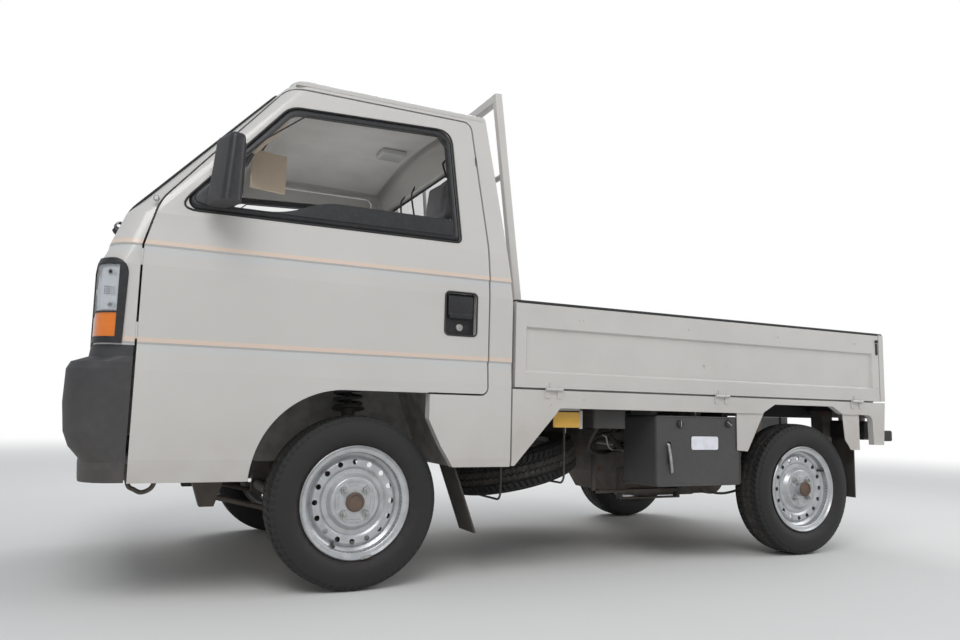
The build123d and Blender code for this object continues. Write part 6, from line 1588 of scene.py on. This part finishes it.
class TRUCK_OT_cabin(bpy.types.Operator):
    """Lining, visors, lamp, mirror, instruments, levers and door cards"""
    bl_idname = "truck.cabin"
    bl_label = "Cabin"

    def execute(self, context):
        make_piece("roof_lining", [soft_roof_lining()], "soft lining")
        visors = [moved(rounded_block((-0.007, -0.15, -0.075), (0.007, 0.15, 0.075), 0.0065, 3),
                        ([[0.747, 0, -0.665], [0, 1, 0], [0.665, 0, 0.747]], at(1036, 340, 1512))),
                  moved(rounded_block((-0.075, -0.007, -0.08), (0.075, 0.007, 0.08), 0.0065, 3),
                        ([[0.97, -0.24, 0], [0.24, 0.97, 0], [0, 0, 1]], at(976, -112, 1490)))]
        make_piece("sun_visors", visors, "beige vinyl")
        lamp = rounded_block(at(440, -68, 1601), at(545, 30, 1626), 0.008)
        make_piece("roof_lamp", [lamp], "white lens")
        stem = rod(at(1050, 0, 1590), at(1068, 0, 1530), 0.006, 12)
        mirror_body = rounded_block(at(1058, -118, 1492), at(1082, 118, 1546), 0.011)
        make_piece("inner_mirror", [stem, mirror_body], "black plastic")
        mirror_glass = rounded_block(at(1056, -112, 1497), at(1059, 112, 1541), 0.001)
        make_piece("inner_mirror_glass", [mirror_glass], "bright metal")
        hooks = [tube(at(*line), 0.0042, 8) for line in BELT_HOOKS]
        make_piece("belt_hooks", hooks, "black plastic")
        hood = rounded_block(at(1196, -480, 1052), at(1300, -190, 1090), 0.016)
        faces, needles = zip(dial(-390, DIALS_Z, 0.042), dial(-285, DIALS_Z, 0.036))
        make_piece("dial_hood", [hood], "dash plastic")
        make_piece("dials", faces, "black plastic")
        make_piece("needles", needles, "amber lens")
        fittings = [rounded_block(at(1214, y - 42, 1006), at(1232, y + 42, 1040), 0.004)
                    for y in AIR_VENTS]
        fittings += [rounded_block(at(1212, y - 38, z), at(1220, y + 38, z + 3), 0.001)
                     for y in AIR_VENTS for z in VENT_SLATS]
        fittings += [rounded_block(at(1216, 200, 890), at(1228, 500, 985), 0.005),
                     rounded_block(at(1212, 320, 968), at(1220, 380, 978), 0.003),
                     rounded_block(at(1214, -70, 930), at(1230, 110, 985), 0.004)]
        fittings += [rounded_block(at(1206, y, 950), at(1216, y + 16, 964), 0.003)
                     for y in RADIO_KEYS]
        make_piece("dash_fittings", fittings, "black plastic")
        levers = [rod(at(1168, -SEAT_Y, 985), at(1150, reach - SEAT_Y, 1000), 0.006, 12)
                  for reach in (150, -150)]
        levers.append(tube(at((930, -20, 640), (925, -20, 760), (905, -25, 850), (900, -25, 905)),
                           0.0075, 12))
        levers.append(rod(at(700, 30, 700), at(860, 30, 790), 0.009, 12))
        make_piece("levers", levers, "black plastic")
        knobs = [turned([(0, 0.012), (0.012, 0.02), (0.034, 0.02), (0.044, 0.012)],
                        at(900, -25, 900), (0, 0, 1), 28, closed=False),
                 rounded_block(at(815, 17, 765), at(880, 43, 812), 0.012),
                 turned([(0, 0.05), (0.05, 0.036), (0.1, 0.012)], at(930, -20, 664), (0, 0, 1), 28,
                        closed=False)]
        make_piece("lever_knobs", knobs, "soft rubber")
        pedals = []
        for y in PEDALS:
            pedals += [rounded_block(at(1288, y - 24, 505), at(1300, y + 24, 560), 0.005),
                       tube(at((1300, y, 540), (1330, y, 620), (1380, y, 760)), 0.006, 10)]
        make_piece("pedals", pedals, "frame black")
        mat = rounded_block(at(1120, -600, 408), at(1430, 600, 416), 0.003)
        make_piece("floor_mat", [mat], "soft rubber")
        card, *parts = door_card()
        for side in SIDES:
            door = f"door_{side}"
            make_piece(f"door_card_{side}", on_side(side, card), "soft lining", door)
            make_piece(f"door_card_parts_{side}", on_side(side, *parts), "black plastic", door)
        belt_line = at((395, 600, 1430), (400, 600, 1200), (410, 595, 900), (430, 585, 700))
        belt = carried(rounded_outline(0.046, 0.002, 0.0009, 2), smooth_line(belt_line), (1, 0, 0))
        make_piece("seat_belts", both_sides([belt]), "black plastic")
        return {"FINISHED"}


# Seats

BLOWING_STEPS = 20
SEAM_DEPTH = 0.006
SEAM_WIDTH = 0.008


def puffed(shape, rest_side, cap):
    """A closed form blown up as cloth with its resting side held; no point moves past cap."""
    scene = bpy.context.scene
    pad = bpy.data.objects.new("pad", new_mesh("pad", shape))
    scene.collection.objects.link(pad)
    even = pad.modifiers.new("even", "REMESH")
    even.mode = "VOXEL"
    even.voxel_size = 0.006
    found = pad.evaluated_get(bpy.context.evaluated_depsgraph_get())
    pad_mesh = bpy.data.meshes.new_from_object(found)
    pad.modifiers.clear()
    pad.data = pad_mesh
    start, faces = shape_of(pad_mesh)
    depth = (start - start.mean(0)) @ np.asarray(rest_side, float)
    held = pad.vertex_groups.new(name="held")
    held.add(np.nonzero(depth > depth.max() - 0.012)[0].tolist(), 1.0, "REPLACE")
    cloth = pad.modifiers.new("filling", "CLOTH")
    cloth.settings.vertex_group_mass = "held"
    cloth.settings.use_pressure = True
    cloth.settings.uniform_pressure_force = 4.0
    cloth.settings.effector_weights.gravity = 0.0
    cloth.point_cache.frame_start, cloth.point_cache.frame_end = 1, BLOWING_STEPS
    for step in range(1, BLOWING_STEPS + 1):
        scene.frame_set(step)
    blown = pad.evaluated_get(bpy.context.evaluated_depsgraph_get())
    end = shape_of(blown.data)[0]
    move = end - start
    length = np.maximum(np.linalg.norm(move, axis=1, keepdims=True), 1e-9)
    points = start + move * np.minimum(1.0, cap / length)
    bpy.data.objects.remove(pad)
    scene.frame_set(1)
    return points, faces


def sewn(shape, thin, border, rows_at):
    """A pad with sewn channels, where its points sink towards its middle plane.

    One channel runs round the pad as the rectangle with the border's half sizes, and one on each
    side of the middle at rows_at. The depth falls off as a bell curve of the distance.
    """
    points, faces = shape[0].copy(), shape[1]
    one, other = [np.abs(points[:, axis]) for axis in range(3) if axis != thin]
    around = np.maximum(one - border[0], other - border[1])
    along, limit = (one, other) if thin == 2 else (other, one)
    row = np.where(limit < (border[1] if thin == 2 else border[0]), along - rows_at, 1.0)
    depth = SEAM_DEPTH * np.maximum(np.exp(-(around / SEAM_WIDTH)**2),
                                    np.exp(-(row / SEAM_WIDTH)**2))
    points[:, thin] -= depth * np.clip(points[:, thin] / 0.02, -1, 1)
    return points, faces


def leaned(shape, degrees, middle):
    """A shape drawn on its own centre, leaned back about Y and put in place."""
    lean = math.radians(degrees)
    turn = [[math.cos(lean), 0, -math.sin(lean)], [0, 1, 0], [math.sin(lean), 0, math.cos(lean)]]
    return moved(shape, (turn, middle))


def seat_pad(half, radius, rest_side, cap, thin, border, rows_at, degrees, middle):
    """A cushion of some half sizes: blown up, sewn, leaned back and put in place."""
    block = rounded_block(-np.array(half), half, radius, 6)
    return leaned(sewn(puffed(block, rest_side, cap), thin, border, rows_at), degrees, middle)


class TRUCK_OT_seats(bpy.types.Operator):
    """Cushions, backs and headrests blown up as cloth, on their frames"""
    bl_idname = "truck.seats"
    bl_label = "Seats"

    def execute(self, context):
        pads = {
            "cushion": seat_pad((0.178, 0.228, 0.042), 0.036, (0, 0, -1), 0.024, 2,
                                (0.133, 0.183), 0.045, 4, at(688, SEAT_Y, 743)),
            "back": seat_pad((0.032, 0.222, 0.205), 0.028, (-1, 0, 0), 0.024, 0,
                             (0.175, 0.158), 0.05, 8.6, at(452, SEAT_Y, 985)),
            "headrest": seat_pad((0.022, 0.112, 0.082), 0.02, (-1, 0, 0), 0.022, 0,
                                 (0.088, 0.058), 0.5, 6, at(405, SEAT_Y, 1332))}
        frame_shapes = [
            rounded_block(at(412, SEAT_Y - 230, 664), at(848, SEAT_Y + 230, 706), 0.012),
            rounded_block(at(424, SEAT_Y - 215, 700), at(470, SEAT_Y + 215, 780), 0.012)]
        frame_shapes += [rod(at(408, y, 1190), at(400, y, 1300), 0.006, 12)
                         for y in (SEAT_Y - 50, SEAT_Y + 50)]
        for side in SIDES:
            base = make_piece(f"seat_frame_{side}", on_side(side, *frame_shapes), "frame black")
            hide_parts(f"seat_{side}")
            for name, shape in pads.items():
                piece = make_piece(f"seat_{name}_{side}", on_side(side, shape), "seat cloth",
                                   subdivide=1)
        return {"FINISHED"}


# The order in which all is made, and the sidebar
OPERATORS = (TRUCK_OT_stage, TRUCK_OT_finishes, TRUCK_OT_brake_hose, TRUCK_OT_tyres,
             TRUCK_OT_wheel_details, TRUCK_OT_cab_trim, TRUCK_OT_lamps, TRUCK_OT_bed_details,
             TRUCK_OT_underside, TRUCK_OT_cabin, TRUCK_OT_seats)


class TRUCK_PT_sidebar(bpy.types.Panel):
    """Lists the truck's groups of pieces and the values that shape them"""
    bl_label = "Kei Truck"
    bl_idname = "TRUCK_PT_sidebar"
    bl_space_type = "VIEW_3D"
    bl_region_type = "UI"
    bl_category = "Kei Truck"

    def draw(self, context):
        layout = self.layout
        for group in (context.scene.truck_colours, context.scene.truck_sizes):
            box = layout.box()
            for name in group.__annotations__:
                box.prop(group, name)
        for operator in OPERATORS:
            layout.operator(operator.bl_idname)


CLASSES = (TRUCK_PG_colours, TRUCK_PG_sizes) + OPERATORS + (TRUCK_PT_sidebar,)


def register():
    """Registers every class and hangs the values on the scene."""
    for some_class in CLASSES:
        bpy.utils.register_class(some_class)
    bpy.types.Scene.truck_colours = PointerProperty(type=TRUCK_PG_colours)
    bpy.types.Scene.truck_sizes = PointerProperty(type=TRUCK_PG_sizes)


def unregister():
    """Takes all of it away again."""
    del bpy.types.Scene.truck_colours
    del bpy.types.Scene.truck_sizes
    for some_class in reversed(CLASSES):
        bpy.utils.unregister_class(some_class)


def main():
    register()
    for operator in OPERATORS:
        section, name = operator.bl_idname.split(".")
        getattr(getattr(bpy.ops, section), name)()


if __name__ == "__main__":
    main()
